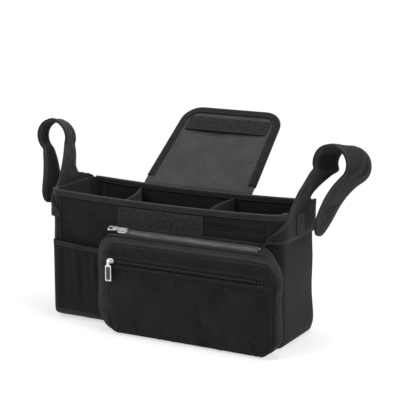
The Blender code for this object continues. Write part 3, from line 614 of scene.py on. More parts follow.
# %% Slack cloth
def slack(grid, held, outward, pressure, spare, cap, frames):
    """The grid after a short simulation with the held points kept in place."""
    shape = bpy.data.meshes.new("slack")
    shape.from_pydata(grid.reshape(-1, 3).tolist(), [], grid_faces(grid, outward).tolist())
    piece = added("slack", shape)
    kept = piece.vertex_groups.new(name="held")
    kept.add(np.flatnonzero(held).tolist(), 1.0, "REPLACE")
    modifier = piece.modifiers.new("cloth", "CLOTH")
    rules = modifier.settings
    rules.quality = 6
    rules.mass = 0.15
    rules.tension_stiffness = 30
    rules.compression_stiffness = 30
    rules.shear_stiffness = 10
    rules.bending_stiffness = 0.25
    rules.vertex_group_mass = "held"
    rules.shrink_min = -spare
    rules.use_pressure = True
    rules.uniform_pressure_force = pressure
    rules.effector_weights.gravity = 0.0
    modifier.point_cache.frame_end = frames
    for step in range(1, frames + 1):
        bpy.context.scene.frame_set(step)
    settled = piece.evaluated_get(bpy.context.evaluated_depsgraph_get())
    moved = np.empty(grid.size, np.float32)
    settled.data.vertices.foreach_get("co", moved)
    bpy.data.objects.remove(piece)
    bpy.context.scene.frame_set(1)
    way = moved.reshape(grid.shape).astype(float) - grid
    length = np.linalg.norm(way, axis=2, keepdims=True)
    return grid + way * (cap * np.tanh(length / cap) / np.maximum(length, 1e-9))


print("slack() lets cloth swell between its seams")

# %% [markdown]
# ## Walls and base
# Four padded panels with round edges make a groove at each corner seam. Their outer
# face is woven, the inner one is a smooth lining. The free part of the front wall,
# right of the patch, is pulled by the strap and lies in long creases. A few smooth
# ridges give them more calmly than a simulation would. The base is one more panel, with
# a stiff board on it that keeps the bag open.


# %% Wall panels
def wall_grid(first, last, columns, upright=56):
    """A wall from its rim down, round the corner at its foot and a little way under the base."""
    ways = np.linspace(first, last, columns)
    rows = []
    for height in np.linspace(1, 0, upright):
        spots = [outline(way) for way in ways]
        rows.append([(x, y, mix(BASE_CORNER, rim_height(x), height)) for x, y in spots])
    for degrees in (18, 36, 54, 72, 90):
        angle = math.radians(degrees)
        inset = BASE_CORNER * (1 - math.cos(angle))
        z = BASE_CORNER * (1 - math.sin(angle))
        rows.append([(*outline(way, -inset), z) for way in ways])
    rows.append([(*outline(way, -BASE_CORNER - BASE_FLANGE), 0) for way in ways])
    return np.array(rows, float)


def wall(name, node, grid, outward):
    piece = cloth(name, grid, PANEL, [OUTER, INSIDE], outward, 0.0011)
    place_piece(piece, "bag", [node])


print("a wall runs from the rim down and under the base")

# %% Front wall
# Each crease has a height out of the wall, a place on it, a slant along it and a width.
# The ones that grow start at the patch and are deepest near the right corner.
CREASES = (
    (0.0018, False, 0.1480, -0.0035, 0.0024),
    (-0.0013, False, 0.1440, -0.0025, 0.0026),
    (0.0011, True, 0.1400, 0.0, 0.0020),
    (-0.0009, False, 0.1370, 0.0010, 0.0024),
    (0.0016, False, 0.1325, 0.0035, 0.0026),
    (0.0012, True, 0.1285, 0.0040, 0.0018))
corner_start = ALONG_FRONT - SIDE_LAP - GAP / 2
front_grid = wall_grid(-corner_start, corner_start, 150, 130)
x, z = front_grid[..., 0], front_grid[..., 2]
free_part = rise(x, 0.060, 0.070) * rise(x, 0.144, 0.136)
left_part = rise(x, -0.064, -0.074)
pull = rise(x, 0.062, 0.142)
creases = 0 * z
for out, grows, height, slant, width in CREASES:
    creases += out * (pull if grows else 1) * bump_at(z, height + slant * pull, width)
dents = 0.0006 * left_part * np.abs(rumple(front_grid, 0.035, 1))
front_grid = pushed(front_grid, free_part * creases - dents, -1)
flattened = np.maximum(front_grid[..., 1], -HALF_DEPTH)
front_grid[..., 1] = np.where(x > 0.06, front_grid[..., 1], flattened)
wall("front_wall", "front_panel", front_grid, (0, -1, 0))
print("front wall:", front_grid.shape, "with", len(CREASES), "creases")

# %% Back wall
back_half = wall_grid(HALF_ROUND - corner_start, HALF_ROUND, 66)
mirror_back = back_half[:, ::-1] * np.array([-1, 1, 1])
back_grid = np.concatenate([back_half, mirror_back[:, 1:]], axis=1)
across, along = measures(back_grid)
upright_part = np.minimum(rise(along, 0, 0.03), rise(along, 0.15, 0.12)) * rise(along, 0.018, 0.028)
middle_part = rise(np.abs(across), 0.135, 0.105)
swell = upright_part * middle_part * (0.0009 + 0.0007 * rumple(back_grid, 0.05, 2))
back_grid = pushed(back_grid, swell, sense_of(back_grid, (0, 1, 0)))
wall("back_wall", "back_panel", back_grid, (0, 1, 0))
print("back wall:", back_grid.shape)

# %% Side panels
SEWN_ROWS = 44
side_begin = ALONG_FRONT - SIDE_LAP + GAP / 2
for side, name in SIDES:
    side_grid = wall_grid(side * side_begin, side * (HALF_ROUND - side_begin), 64)
    across, _ = measures(side_grid)
    y, z = side_grid[..., 1], side_grid[..., 2]
    below_wing = rise(z, 0.122, 0.097) * rise(z, 0.001, 0.013)
    swell = 0.0014 * np.cos(across / 0.062 * math.pi / 2).clip(0, 1)
    swell += 0.0009 * rumple(side_grid, 0.04, 3 + side)
    swell += 0.002 * bump_at(z, 0.018, 0.02) * rise(y, -0.01, 0.04)
    sense = sense_of(side_grid, (side, 0, 0))
    side_grid = pushed(side_grid, below_wing * swell, sense)
    wall(name + "_side_wall", name + "_side_panel", side_grid, (side, 0, 0))
    sew_edges(side_grid[:SEWN_ROWS], 0.0025, sense)
print("side walls swell below the strap wings")

# %% Corner seam tapes
# The raw corner seams are hidden inside by a narrow tape.
TAPE_HALF, TAPE_OFF, TAPE_FOOT = 0.004, 0.0008, 0.009
for side, name in SIDES:
    for middle, inward, corner in ((corner_start, 1, "front"), (HALF_ROUND - corner_start, -1, "back")):
        ways = np.linspace(middle - TAPE_HALF, middle + TAPE_HALF, 9)
        spots = [outline(side * way, -PANEL - TAPE_OFF) for way in ways]
        rows = []
        for height in np.linspace(0, 0.96, 60):
            rows.append([(x, y, TAPE_FOOT + (rim_height(x) - 0.010) * height) for x, y in spots])
        seam = cloth(f"{name}_{corner}_seam_tape", np.array(rows, float), 0.0007, [TAPE],
                     (-side, inward, 0), 0.0002)
        place_piece(seam, "bag")
print("tapes cover the corner seams inside")


# %% Base and board
def rounded(left, right, low, high, radius, steps=6):
    """The outline of a rectangle with round corners."""
    points = []
    for x, y, start in ((right - radius, low + radius, -90), (right - radius, high - radius, 0),
                        (left + radius, high - radius, 90), (left + radius, low + radius, 180)):
        for step in range(steps + 1):
            angle = math.radians(start + 90 * step / steps)
            points.append((x + radius * math.cos(angle), y + radius * math.sin(angle)))
    return points


def slab(name, outline_points, low, high, finish, turn=Matrix(), edge=0.0006):
    """A plate with round edges, drawn up from an outline in XY and then turned."""
    shape = bmesh.new()
    face = shape.faces.new([shape.verts.new((x, y, low)) for x, y in outline_points])
    grown = bmesh.ops.extrude_face_region(shape, geom=[face])
    risen = [part for part in grown["geom"] if isinstance(part, bmesh.types.BMVert)]
    bmesh.ops.translate(shape, verts=risen, vec=(0, 0, high - low))
    bmesh.ops.recalc_face_normals(shape, faces=shape.faces)
    rims = [line for line in shape.edges if line.calc_face_angle(0) > 1.2]
    bmesh.ops.bevel(shape, geom=rims, offset=edge, segments=3, profile=0.5, affect="EDGES")
    layer = shape.loops.layers.uv.new("cloth")
    for part in shape.faces:
        for corner in part.loops:
            corner[layer].uv = corner.vert.co.xy
    result = bpy.data.meshes.new(name)
    bmesh.ops.transform(shape, matrix=turn, verts=shape.verts)
    shape.to_mesh(result)
    shape.free()
    result.materials.append(finish)
    shaded(result, 40)
    return added(name, result)


def base_plan(inset):
    return rounded(inset - HALF_LENGTH, HALF_LENGTH - inset, inset - HALF_DEPTH, HALF_DEPTH - inset,
                   PLAN_CORNER - inset)


base_inset = BASE_CORNER + BASE_FLANGE + GAP
bottom = slab("base_cloth", base_plan(base_inset), 0, PANEL, OUTER)
place_piece(bottom, "bag", ["base_panel"])
BOARD_GAP, BOARD_FOOT, BOARD_THICK = 0.0007, PANEL + GAP, 0.002
board = slab("board_cover", base_plan(base_inset + BOARD_GAP), BOARD_FOOT, BOARD_FOOT + BOARD_THICK, INSIDE)
place_piece(board, "bag", ["base_board"])
print("base and board laid")

# %% [markdown]
# ## Rims and dividers
# A tape is folded over each long rim and sewn through, which puckers it between the
# stitches. The dividers are thin pads with a single seam along their top.


# %% Rim tapes
STITCH_STEP = 0.0032


def rim_tape(name, node, side, end):
    rows = []
    for way in np.linspace(-end, end, 200):
        top = rim_height(outline(way)[0]) + GAP
        pucker = 0.00012 * math.sin(way / STITCH_STEP * 2 * math.pi) + 0.0002 * math.sin(way / 0.021)
        section = [(0.0012 + pucker, -0.0062), (0.0013, -0.003), (0.0012, -0.0003), (0.0007, 0.0008),
                   (-0.0005, 0.0011), (-0.0026, 0.0011), (-0.0037, 0.0007), (-0.0042, -0.0004),
                   (-0.0043, -0.003), (-0.0042 - pucker, -0.0062)]
        spots = [(*outline(way, out), top + up) for out, up in section]
        rows.append([(x, -side * y, z) for x, y, z in spots])
    grid = smooth_grid(np.array(rows, float), 200, 22)
    piece = cloth(name, grid, 0.0008, [TAPE], (0, 0, 1), 0.0003)
    place_piece(piece, "bag", [node])
    sew_edges(grid, 0.0014, sense_of(grid, (0, 0, 1)))


rim_tape("front_rim", "front_rim_tape", -1, ALONG_FRONT + ROUND_CORNER + 0.003)
rim_tape("back_rim", "back_rim_tape", 1, ALONG_FRONT + ROUND_CORNER * 0.4)
print("rim tapes folded over the long rims")


# %% Dividers
def divider(name, node, front_x, back_x):
    """A wall between two compartments, bowed out, and narrower at its foot than at its top."""
    low, high = 0.0056, BAG_HEIGHT - RIM_SAG - 0.004
    reach = HALF_DEPTH - PANEL - 0.0017 - GAP
    bow_way = -1 if front_x > 0 else 1
    rows = []
    for height in np.linspace(0, 1, 40):
        z = mix(high, low, height)
        narrow = 1 - 0.16 * max(0.0, (0.0125 - z) / 0.0069)
        row = []
        for share in np.linspace(0, 1, 34):
            bow = 0.006 * math.sin(math.pi * share) * bow_way
            row.append((mix(front_x, back_x, share) + bow, mix(-reach, reach, share) * narrow, z))
        rows.append(row)
    grid = np.array(rows, float)
    sense = sense_of(grid, (1, 0, 0))
    grid = pushed(grid, rise(edge_way(grid), 0, 0.012) * 0.0008 * rumple(grid, 0.03, 5), sense)
    piece = cloth(name, grid, 0.0025, [INSIDE], (1, 0, 0), 0.0009)
    place_piece(piece, "bag", [node])
    sew_first_row(grid, 0.004, sense)


divider("left_compartment_wall", "left_divider", -0.062, -0.083)
divider("right_compartment_wall", "right_divider", 0.062, 0.052)
print("dividers bow round the compartments beside them")

# %% [markdown]
# ## Straps
# Each strap is one padded band: a wide wing round the side wall, a neck, a loop that
# keeps its round form when empty, and a free end that hangs outside. It is lofted through
# rows from front edge to back edge, then bound with tape along its whole edge. Loop
# pile sits on the wing, and the hooks that meet it are under the free end.

# %% Strap rows
STRAP, STRAP_WIDTH, WING_EASE, ROW_POINTS, LOOP_RADIUS = 0.003, 0.045, 0.0009, 31, 0.020
WING_FOOT, WING_SEAM, WING_RIM_FRONT = 0.129, 0.137, 0.031
LOOP_FROM, LOOP_TO = 200, -50
LOOP_FRONT, LOOP_BACK = Vector((0.1945, 0.008, 0.2177)), Vector((0.2080, 0.048, 0.2100))
END_BEND, END_TIP = Vector((0.1925, 0.009, 0.178)), Vector((0.1880, -0.006, 0.134))


def level_row(front, back):
    """A straight row of points from one edge of the strap to the other."""
    return [tuple(mix(front, back, share)) for share in np.linspace(0, 1, ROW_POINTS)]


def wing_row(z, front_way, back_way):
    """A row that follows the bag's side and goes this far round it, from the side's middle."""
    ways = np.linspace(-front_way, back_way, ROW_POINTS)
    return [(*outline(SIDE_MIDDLE + way, WING_EASE + STRAP), z) for way in ways]


def loop_edges(degrees):
    """The loop's two edges at an angle, 0 pointing away from the bag and 90 up."""
    angle = math.radians(degrees)
    out = LOOP_RADIUS * Vector((math.cos(angle), 0, math.sin(angle)))
    return LOOP_FRONT + out, LOOP_BACK + out


def end_row(share, width=1.0):
    """A row of the free end, which leaves the loop and bends down to its tip."""
    front, back = loop_edges(LOOP_TO)
    centre = mix(mix((front + back) / 2, END_BEND, share), mix(END_BEND, END_TIP, share), share)
    half = mix((back - front) / 2, Vector((0, STRAP_WIDTH / 2, 0)), share)
    return level_row(centre - half * width, centre + half * width)


def strap_grid():
    corner_way = ALONG_SIDE / 2 + ROUND_CORNER
    rim_back = ALONG_SIDE / 2 + ROUND_CORNER / 2
    rows = [wing_row(WING_FOOT, corner_way + SIDE_LAP, corner_way + SIDE_LAP)]
    for share in np.linspace(0, 1, 8):
        rows.append(wing_row(mix(WING_SEAM, BAG_HEIGHT, share), mix(corner_way, WING_RIM_FRONT, share),
                             mix(corner_way, rim_back, share)))
    rows.append(wing_row(BAG_HEIGHT + STRAP, WING_RIM_FRONT - STRAP, rim_back - STRAP))
    rim_start, rim_end = Vector(rows[-1][0]), Vector(rows[-1][-1])
    loop_start, loop_end = loop_edges(LOOP_FROM)
    for share in (0.14, 0.3, 0.48, 0.66, 0.84):
        front, back = mix(rim_start, loop_start, share), mix(rim_end, loop_end, share)
        front.x = mix(rim_start.x, loop_start.x, share ** 1.6)
        back.x = mix(rim_start.x, loop_end.x, share ** 1.6)
        back.y -= 0.028 * math.sin(math.pi * math.sqrt(share))
        rows.append(level_row(front, back))
    rows += [level_row(*loop_edges(degrees)) for degrees in np.linspace(LOOP_FROM, LOOP_TO, 16)]
    rows += [end_row(share) for share in (0.16, 0.32, 0.48, 0.62)]
    for degrees in (0, 20, 40, 55, 68, 78, 84):
        angle = math.radians(degrees)
        rows.append(end_row(mix(0.72, 1.0, math.sin(angle)), math.cos(angle)))
    return np.array(rows, float)


strap_base = smooth_grid(strap_grid(), 220, 46)
print("strap rows:", strap_base.shape)


# %% Strap cloth
STRAP_BAND, STRAP_SEAM = 0.0045, 0.0062
# Rows of the fine grid up to the wing's seam, up to the rim, and in the round tip.
WING_ROWS, RIM_ROWS, TIP_ROWS = 8, 30, 22


def strap(side, name):
    grid = strap_base * np.array([side, 1, 1])
    across, along = measures(grid)
    sense = sense_of(grid[:12], (side, 0, 0))
    near = edge_way(grid)
    # creases where the band bends, across it on the loop and slanting on the neck
    bends = 0.0008 * np.sin(along / 0.0042 + across / 0.02) * bump_at(along, 0.075, 0.022)
    bends += 0.0007 * np.sin((along + 0.6 * across) / 0.0035) * bump_at(along, 0.175, 0.016)
    bends += 0.0009 * np.sin((along - 0.4 * across) / 0.005) * bump_at(along, 0.125, 0.03)
    lumps = 0.0007 * rumple(grid, 0.018, 11 + side)
    free = rise(along, 0.036, 0.046) * rise(near, 0, 0.010)
    grid = pushed(grid, free * (bends + lumps) + 0.00035 * (near < STRAP_BAND), sense)
    band = cloth(name + "_strap_band", grid, STRAP + GAP, [OUTER, OUTER, TAPE], (side, 0, 0.02), 0.0013,
                 band=STRAP_BAND)
    place_piece(band, "bag", [name + "_strap"])
    sew_edges(grid[WING_ROWS:-TIP_ROWS], STRAP_SEAM, sense)
    sew_edges(grid[RIM_ROWS:-TIP_ROWS], STRAP_SEAM, sense, lift=-STRAP - 0.0005)
    seam_rows = np.flatnonzero(np.abs(grid[:, :, 2].mean(axis=1) - WING_SEAM) < 0.0012)
    sew(grid[seam_rows[0]] + facing(grid)[10] * sense * 0.0002)
    return grid, sense


strap_faces = {name: strap(side, name) for side, name in SIDES}
print("straps bound and sewn")

# %% Patches on the straps
PATCH_THICK = 0.0012
wing_patch_plan = rounded(-0.017, 0.005, 0.133, 0.159, 0.003)
to_side = Matrix(((0, 0, 1, 0), (1, 0, 0, 0), (0, 1, 0, 0), (0, 0, 0, 1)))
wing_face = HALF_LENGTH + WING_EASE + STRAP + GAP
for side, name in SIDES:
    start = wing_face if side > 0 else -wing_face - PATCH_THICK
    turn = Matrix.Translation((start, 0, 0)) @ to_side
    loops = slab(name + "_wing_patch", wing_patch_plan, 0.0, PATCH_THICK, LOOP_PILE, turn)
    place_piece(loops, "bag", [name + "_strap_loop_patch"])
    face, sense = strap_faces[name]
    patch_high, patch_low = end_row(0.52)[15][2], end_row(0.86)[15][2]
    on_end = [row for row in face[150:] if patch_low < row[23][2] < patch_high]
    grid = pushed(np.array(on_end)[:, 12:35], -(STRAP + GAP), sense)
    hooks = cloth(name + "_free_end_patch", grid, 0.0011, [HOOKS], (side, 0, 0), 0.0004)
    place_piece(hooks, "bag", [name + "_strap_hook_patch"])
print("patches on both straps")

# %% [markdown]
# ## Flap
# The lid stands open behind the rim. Its lining faces the camera and lies a little
# slack, and the hook patch near its end is stitched on. The border is one section set
# along the flap's edge, because a tape that is folded over an edge follows its path.

# %% Flap
FLAP_LENGTH, FLAP_CORNER, FLAP_BEND, FLAP_THICK = 0.131, 0.024, 0.004, 0.003
FLAP_ROOT_WIDTH, FLAP_END_WIDTH, FLAP_MIDDLE, FLAP_LEAN = 0.154, 0.140, -0.006, 38.3
flap_straight = FLAP_LENGTH - FLAP_CORNER
flap_back = HALF_DEPTH + 0.001 + 2 * GAP
flap_plane = (Matrix.Translation((FLAP_MIDDLE, flap_back + FLAP_BEND, BAG_HEIGHT + FLAP_BEND * 0.4))
              @ Matrix.Rotation(math.radians(FLAP_LEAN), 4, "X"))


def flap_half(way):
    """Half the flap's width at a way from its root, rounded off at its end."""
    half = mix(FLAP_ROOT_WIDTH, FLAP_END_WIDTH, way / FLAP_LENGTH) / 2
    turned = max(way - flap_straight, 0)
    return half - FLAP_CORNER + math.sqrt(max(FLAP_CORNER ** 2 - turned ** 2, 0))


def flap_sag(x, way):
    """How far the lining dips between its borders."""
    width = flap_half(min(way, flap_straight))
    return -0.0022 * max(0.0, 1 - (x / (width - 0.006)) ** 2) * math.sin(math.pi * way / FLAP_LENGTH)


rows = []
for back, below in ((0, 0.014), (0, 0.009), (0, 0.004), (0.0012, 0.0008)):
    places = np.linspace(-FLAP_ROOT_WIDTH / 2, FLAP_ROOT_WIDTH / 2, 41)
    rows.append([(FLAP_MIDDLE + x, flap_back + back, BAG_HEIGHT - below) for x in places])
flap_ways = [0.0, 0.01, 0.025, 0.045, 0.065, 0.085, flap_straight]
flap_ways += [flap_straight + FLAP_CORNER * math.sin(math.radians(a)) for a in (15, 30, 45, 58, 70, 79, 85)]
for way in flap_ways:
    places = np.linspace(-flap_half(way), flap_half(way), 41)
    rows.append([tuple(flap_plane @ Vector((x, way, flap_sag(x, way)))) for x in places])
flap_grid = smooth_grid(np.array(rows, float), 96, 96)
lining_out = (0, -0.6, 0.8)
lumps = rumple(flap_grid, 0.05, 21) + 0.5 * rumple(flap_grid, 0.02, 22)
within = rise(edge_way(flap_grid), 0.009, 0.029)
flap_grid = pushed(flap_grid, within * 0.0010 * lumps, sense_of(flap_grid, lining_out))
lid = cloth("flap_pad", flap_grid, FLAP_THICK, [LINING, OUTER], lining_out, 0.001)
place_piece(lid, "bag", ["flap"])
print("flap:", len(lid.data.polygons), "faces")


# %% Flap binding
def flap_path(count=150):
    """The flap's edge in its own plane, from one side of its root round to the other."""
    points = [(flap_half(way), way) for way in np.linspace(FLAP_LENGTH * 0.06, flap_straight, 14)]
    side_x, end_x = flap_half(flap_straight) - FLAP_CORNER, FLAP_END_WIDTH / 2 - FLAP_CORNER
    for degrees in range(10, 91, 10):
        angle = math.radians(degrees)
        points.append((mix(side_x, end_x, degrees / 90) + FLAP_CORNER * math.cos(angle),
                       flap_straight + FLAP_CORNER * math.sin(angle)))
    points += [(x, points[-1][1]) for x in np.linspace(end_x, 0, 6)[1:]]
    points += [(-x, way) for x, way in reversed(points[:-1])]
    return smooth_line(np.array(points), count)


BINDING_SECTION = ((-0.0088, 0.0011), (-0.006, 0.0014), (-0.002, 0.0014), (0.0006, 0.0010), (0.0013, 0.0),
                   (0.0013, -0.0030), (0.0006, -0.0040), (-0.002, -0.0044), (-0.006, -0.0044),
                   (-0.0088, -0.0041))
path = flap_path()
along_path = np.gradient(path, axis=0)
along_path /= np.linalg.norm(along_path, axis=1, keepdims=True)
rows = []
for (x, way), (run_x, run_y) in zip(path, along_path):
    out = Vector((run_y, -run_x))
    if out.dot(Vector((x, way - 0.07))) <= 0:
        out.negate()
    spots = [Vector((x + out.x * go, way + out.y * go, up)) for go, up in BINDING_SECTION]
    rows.append([tuple(flap_plane @ spot) for spot in spots])
binding_grid = smooth_grid(np.array(rows, float), 190, 24)
end_out = tuple(flap_plane.to_3x3() @ Vector((0, 1, 0)))
binding = cloth("flap_border", binding_grid, 0.0009, [OUTER], end_out, 0.0003)
place_piece(binding, "bag", ["flap_binding"])
sew_edges(binding_grid, 0.0012, sense_of(binding_grid, end_out))
print("flap border bound and sewn")


# %% Long patches
def sewn_patch(name, node, finish, turn, low, thick):
    """A long patch on a plane, with a line of stitches inside its edge."""
    half, high = PATCH_LENGTH / 2, low + PATCH_WIDTH
    piece = slab(name, rounded(-half, half, low, high, 0.002), 0, thick, finish, turn, 0.0005)
    place_piece(piece, "bag", [node])
    half, low, high = half - PATCH_SEAM, low + PATCH_SEAM, high - PATCH_SEAM
    corners = [(-half, low), (half, low), (half, high), (-half, high), (-half, low)]
    line = []
    for (x0, y0), (x1, y1) in zip(corners, corners[1:]):
        for share in np.linspace(0, 1, 12)[:-1]:
            line.append(tuple(turn @ Vector((mix(x0, x1, share), mix(y0, y1, share), 0.0014))))
    sew(line + [line[0]])


PATCH_LENGTH, PATCH_WIDTH, PATCH_SEAM, FRONT_PATCH_FOOT = 0.118, 0.024, 0.0018, 0.1275
wall_turn = Matrix.Translation((0, -HALF_DEPTH - GAP, 0)) @ Matrix.Rotation(math.pi / 2, 4, "X")
hook_turn = flap_plane @ Matrix.Translation((0, FLAP_LENGTH - 0.016 - PATCH_WIDTH, GAP))
sewn_patch("front_patch", "front_loop_patch", LOOP_PILE, wall_turn, FRONT_PATCH_FOOT, 0.0013)
sewn_patch("flap_patch", "flap_hook_patch", HOOKS, hook_turn, 0, 0.0012)
print("long patches stitched round")

# %% [markdown]
# ## Mesh pocket
# A knitted mesh is mostly holes. Making each hole would be hopeless, so the holes are
# in the finish's alpha, and the form carries the soft upright folds that a gathered
# mesh has. An elastic hem pulls its top edge in.

# %% Mesh pocket
POCKET_LEFT, POCKET_RIGHT, POCKET_DEPTH = -0.152, -0.0775, 0.0085
POCKET_ROUND, POCKET_TOP, POCKET_DIP, POCKET_BOTTOM = 0.005, 0.0945, 0.004, 0.003
pocket_wall = -HALF_DEPTH - GAP


def pocket_plan(depth):
    points = [(POCKET_LEFT, pocket_wall)]
    for x, turn, start in ((POCKET_LEFT, 1, 180), (POCKET_RIGHT, -1, 270)):
        for step in range(7):
            angle = math.radians(start + 15 * step)
            points.append((x + turn * POCKET_ROUND + POCKET_ROUND * math.cos(angle),
                           pocket_wall - depth + POCKET_ROUND + POCKET_ROUND * math.sin(angle)))
    return np.array(points + [(POCKET_RIGHT, pocket_wall)])


def pocket_top(x):
    share = (x - POCKET_LEFT) / (POCKET_RIGHT - POCKET_LEFT)
    return POCKET_TOP - POCKET_DIP * np.sin(math.pi / 2 * share)


plan = pocket_plan(POCKET_DEPTH)
runs = np.concatenate([[0], np.cumsum(np.linalg.norm(np.diff(plan, axis=0), axis=1))])
wanted = np.linspace(0, runs[-1], 110)
plan = np.stack([np.interp(wanted, runs, plan[:, 0]), np.interp(wanted, runs, plan[:, 1])], axis=1)
foot_heights = [POCKET_BOTTOM, POCKET_BOTTOM + 0.0015, POCKET_BOTTOM + 0.004, 0.012]
# The first two rows lie below the pocket's bottom, tucked in under the wall's round foot.
tuck_heights = [0.0018, 0.0024, 0.0030, 0.0042]
rows = []
for height in np.concatenate([[-0.0131, -0.0066], np.linspace(0, 0.09, 10), np.linspace(0.105, 1, 60)]):
    z = mix(POCKET_BOTTOM, pocket_top(plan[:, 0]), height)
    share = np.interp(z, foot_heights, [0.03, 0.45, 0.80, 1.0])
    tuck = np.interp(z, tuck_heights, [0.0025, 0.0019, 0.0014, 0.0])
    rows.append(np.stack([plan[:, 0], mix(pocket_wall, plan[:, 1], share) + tuck, z], axis=1))
mesh_grid = np.array(rows)
x, z = mesh_grid[..., 0], mesh_grid[..., 2]
from_left, from_right = x - POCKET_LEFT, POCKET_RIGHT - x
loose = rise(from_left, 0.004, 0.014) * rise(from_right, 0.003, 0.011) * rise(z, 0.012, 0.042)
folds = np.sin(x / 0.0045 + 0.5 * np.sin(z / 0.02)) * 0.45 + np.sin(x / 0.0021 + 1.3 + z / 0.03) * 0.3
folds *= 0.45 + 0.55 * bump_at(z, 0.07, 0.03)
mesh_grid[..., 1] += loose * (0.0006 + 0.0020 * folds)
net = cloth("mesh_front", mesh_grid, 0.0004, [MESH, TAPE], (0, -1, 0), 0)
MARGIN_SIDE, MARGIN_FOOT = POCKET_LEFT + 0.0045, 0.0122
margin = [part.center.x < MARGIN_SIDE or part.center.z < MARGIN_FOOT for part in net.data.polygons]
net.data.polygons.foreach_set("material_index", np.array(margin, np.int32))
place_piece(net, "bag", ["mesh_pocket"])
print("mesh:", len(margin), "faces, of them in the taped margin:", sum(margin))

# %% Elastic hem
HEM_HEIGHT = 0.006
gathers = 0.00025 * np.sin(np.arange(len(plan)) * 1.9)
in_front = plan[:, 1] < pocket_wall - 0.004
hem_rows = []
for height in np.linspace(0, 1, 9):
    roll = 0.0004 * math.sin(math.pi * height)
    z = pocket_top(plan[:, 0]) + GAP + HEM_HEIGHT * height
    hem_rows.append(np.stack([plan[:, 0], plan[:, 1] - (roll + gathers) * in_front, z], axis=1))
hem_grid = np.array(hem_rows)
hem = cloth("elastic_hem", hem_grid, 0.0012, [ELASTIC], (0, -1, 0), 0.0005)
place_piece(hem, "bag", ["pocket_hem"])
sew_first_row(hem_grid, 0.0012, sense_of(hem_grid, (0, -1, 0)))


# %% [markdown]
# ## Pouch
# The pouch is a soft box: a gusset runs all round it and bellies out, and the padded
# face is sewn to it in a deep seam. The top zip fills a slot in the sloping strip
# above, the front one a slot in the face between two folded lips.

# %% Pouch outlines
POUCH_DEPTH, POUCH_WALL, POUCH_SEAM = 0.034, 0.0025, 0.0012
# Left, right, low and high end of the pouch at its root, its middle and its face.
ROOT = (-0.062, 0.150, 0.006, 0.126)
MIDDLE = (-0.079, 0.170, 0.0010, 0.1185)
FACE = (-0.058, 0.165, 0.0025, 0.112)
CORNERS = (0.016, 0.026, 0.018)
root_y = -HALF_DEPTH - GAP
face_y = -HALF_DEPTH - POUCH_DEPTH
seam_y = face_y + POUCH_WALL + GAP


def between(values, share):
    """A value on the curve through the three, at the start, half way and at the end."""
    first, middle, last = values
    return (first * (1 - share) * (1 - 2 * share) + middle * 4 * share * (1 - share)
            + last * share * (2 * share - 1))


def pouch_outline(share, count=400):
    """The pouch's outline at a share of its depth, evenly spaced from the middle of its foot."""
    left, right, low, high = [between(values, share) for values in zip(ROOT, MIDDLE, FACE)]
    corners = rounded(left, right, low, high, between(CORNERS, share), 14)
    start = ((left + right) / 2, low)
    points = np.array([start, *corners, start])
    way = np.concatenate([[0], np.cumsum(np.linalg.norm(np.diff(points, axis=0), axis=1))])
    wanted = np.linspace(0, way[-1], count)
    return np.stack([np.interp(wanted, way, points[:, 0]), np.interp(wanted, way, points[:, 1])], axis=1)


def top_zip_frame():
    """The plane of the top zip, on the sloping strip between the pouch's root and its middle."""
    middle_y = root_y - (POUCH_DEPTH - POUCH_WALL - 2 * GAP) / 2
    slope = math.atan2(ROOT[3] - MIDDLE[3], root_y - POUCH_SEAM - middle_y)
    centre = (TOP_ZIP_X, (root_y - POUCH_SEAM + middle_y) / 2, (ROOT[3] + MIDDLE[3]) / 2)
    return Matrix.Translation(centre) @ Matrix.Rotation(slope, 4, "X")


TOP_ZIP_X, FRONT_ZIP_X, FRONT_ZIP_Z = 0.0395, 0.047, 0.0915
TOP_HALF, TOP_SLOT, FRONT_HALF, FRONT_SLOT = 0.0995, 0.0144, 0.101, 0.0074
top_frame = top_zip_frame()
front_frame = Matrix.Translation((FRONT_ZIP_X, face_y, FRONT_ZIP_Z)) @ Matrix.Rotation(math.pi / 2, 4, "X")
print("pouch outline:", pouch_outline(1).shape)

# %% Gusset
first_y, last_y = root_y - POUCH_SEAM, seam_y + POUCH_SEAM
shares = np.concatenate([[0, 0.02], np.linspace(0.06, 0.94, 22), [0.97, 1.0]])
rows = [[(x, root_y, z) for x, z in pouch_outline(0)]]
for share in shares:
    rows.append([(x, mix(first_y, last_y, share), z) for x, z in pouch_outline(share)])
rows.append([(x, seam_y, z) for x, z in pouch_outline(1)])
gusset_grid = np.array(rows, float)
print("gusset rows:", gusset_grid.shape)

# %% Folds and slot of the gusset
x, y, z = gusset_grid[..., 0], gusset_grid[..., 1], gusset_grid[..., 2]
depth = rise(y, first_y, last_y)
way_round = np.linspace(0, 0.64, 400)
near_zip = rise(z, 0.104, 0.110) * rise(x, -0.072, -0.064) * rise(x, 0.148, 0.140)
lumps = 0.0012 * rumple(gusset_grid, 0.024, 31) + 0.0006 * rumple(gusset_grid, 0.010, 32)
slant = 3 * rumple(gusset_grid, 0.06, 33)
gathers = 0.0006 * np.sin(way_round / 0.0031 + slant) * bump_at(depth, 0.88, 0.14)
gathers += 0.0005 * np.sin(way_round / 0.0038 + 2) * bump_at(depth, 0.12, 0.15)
rolled = 0.0009 * bump_at(depth, 0.90, 0.07) - 0.0009 * rise(depth, 0.985, 1.0)
relief = (np.sin(math.pi * depth) * lumps + gathers) * (1 - 0.92 * near_zip) + rolled
gusset_grid = pushed(gusset_grid, relief, sense_of(gusset_grid, (0, 0, 1)))
gusset_grid[:, -1] = gusset_grid[:, 0]
slot_plan = rounded(-TOP_HALF, TOP_HALF, -TOP_SLOT / 2, TOP_SLOT / 2, 0.0005, 1)
cutter = slab("cutter", slot_plan, -0.008, 0.008, OUTER, top_frame, 0.00001)
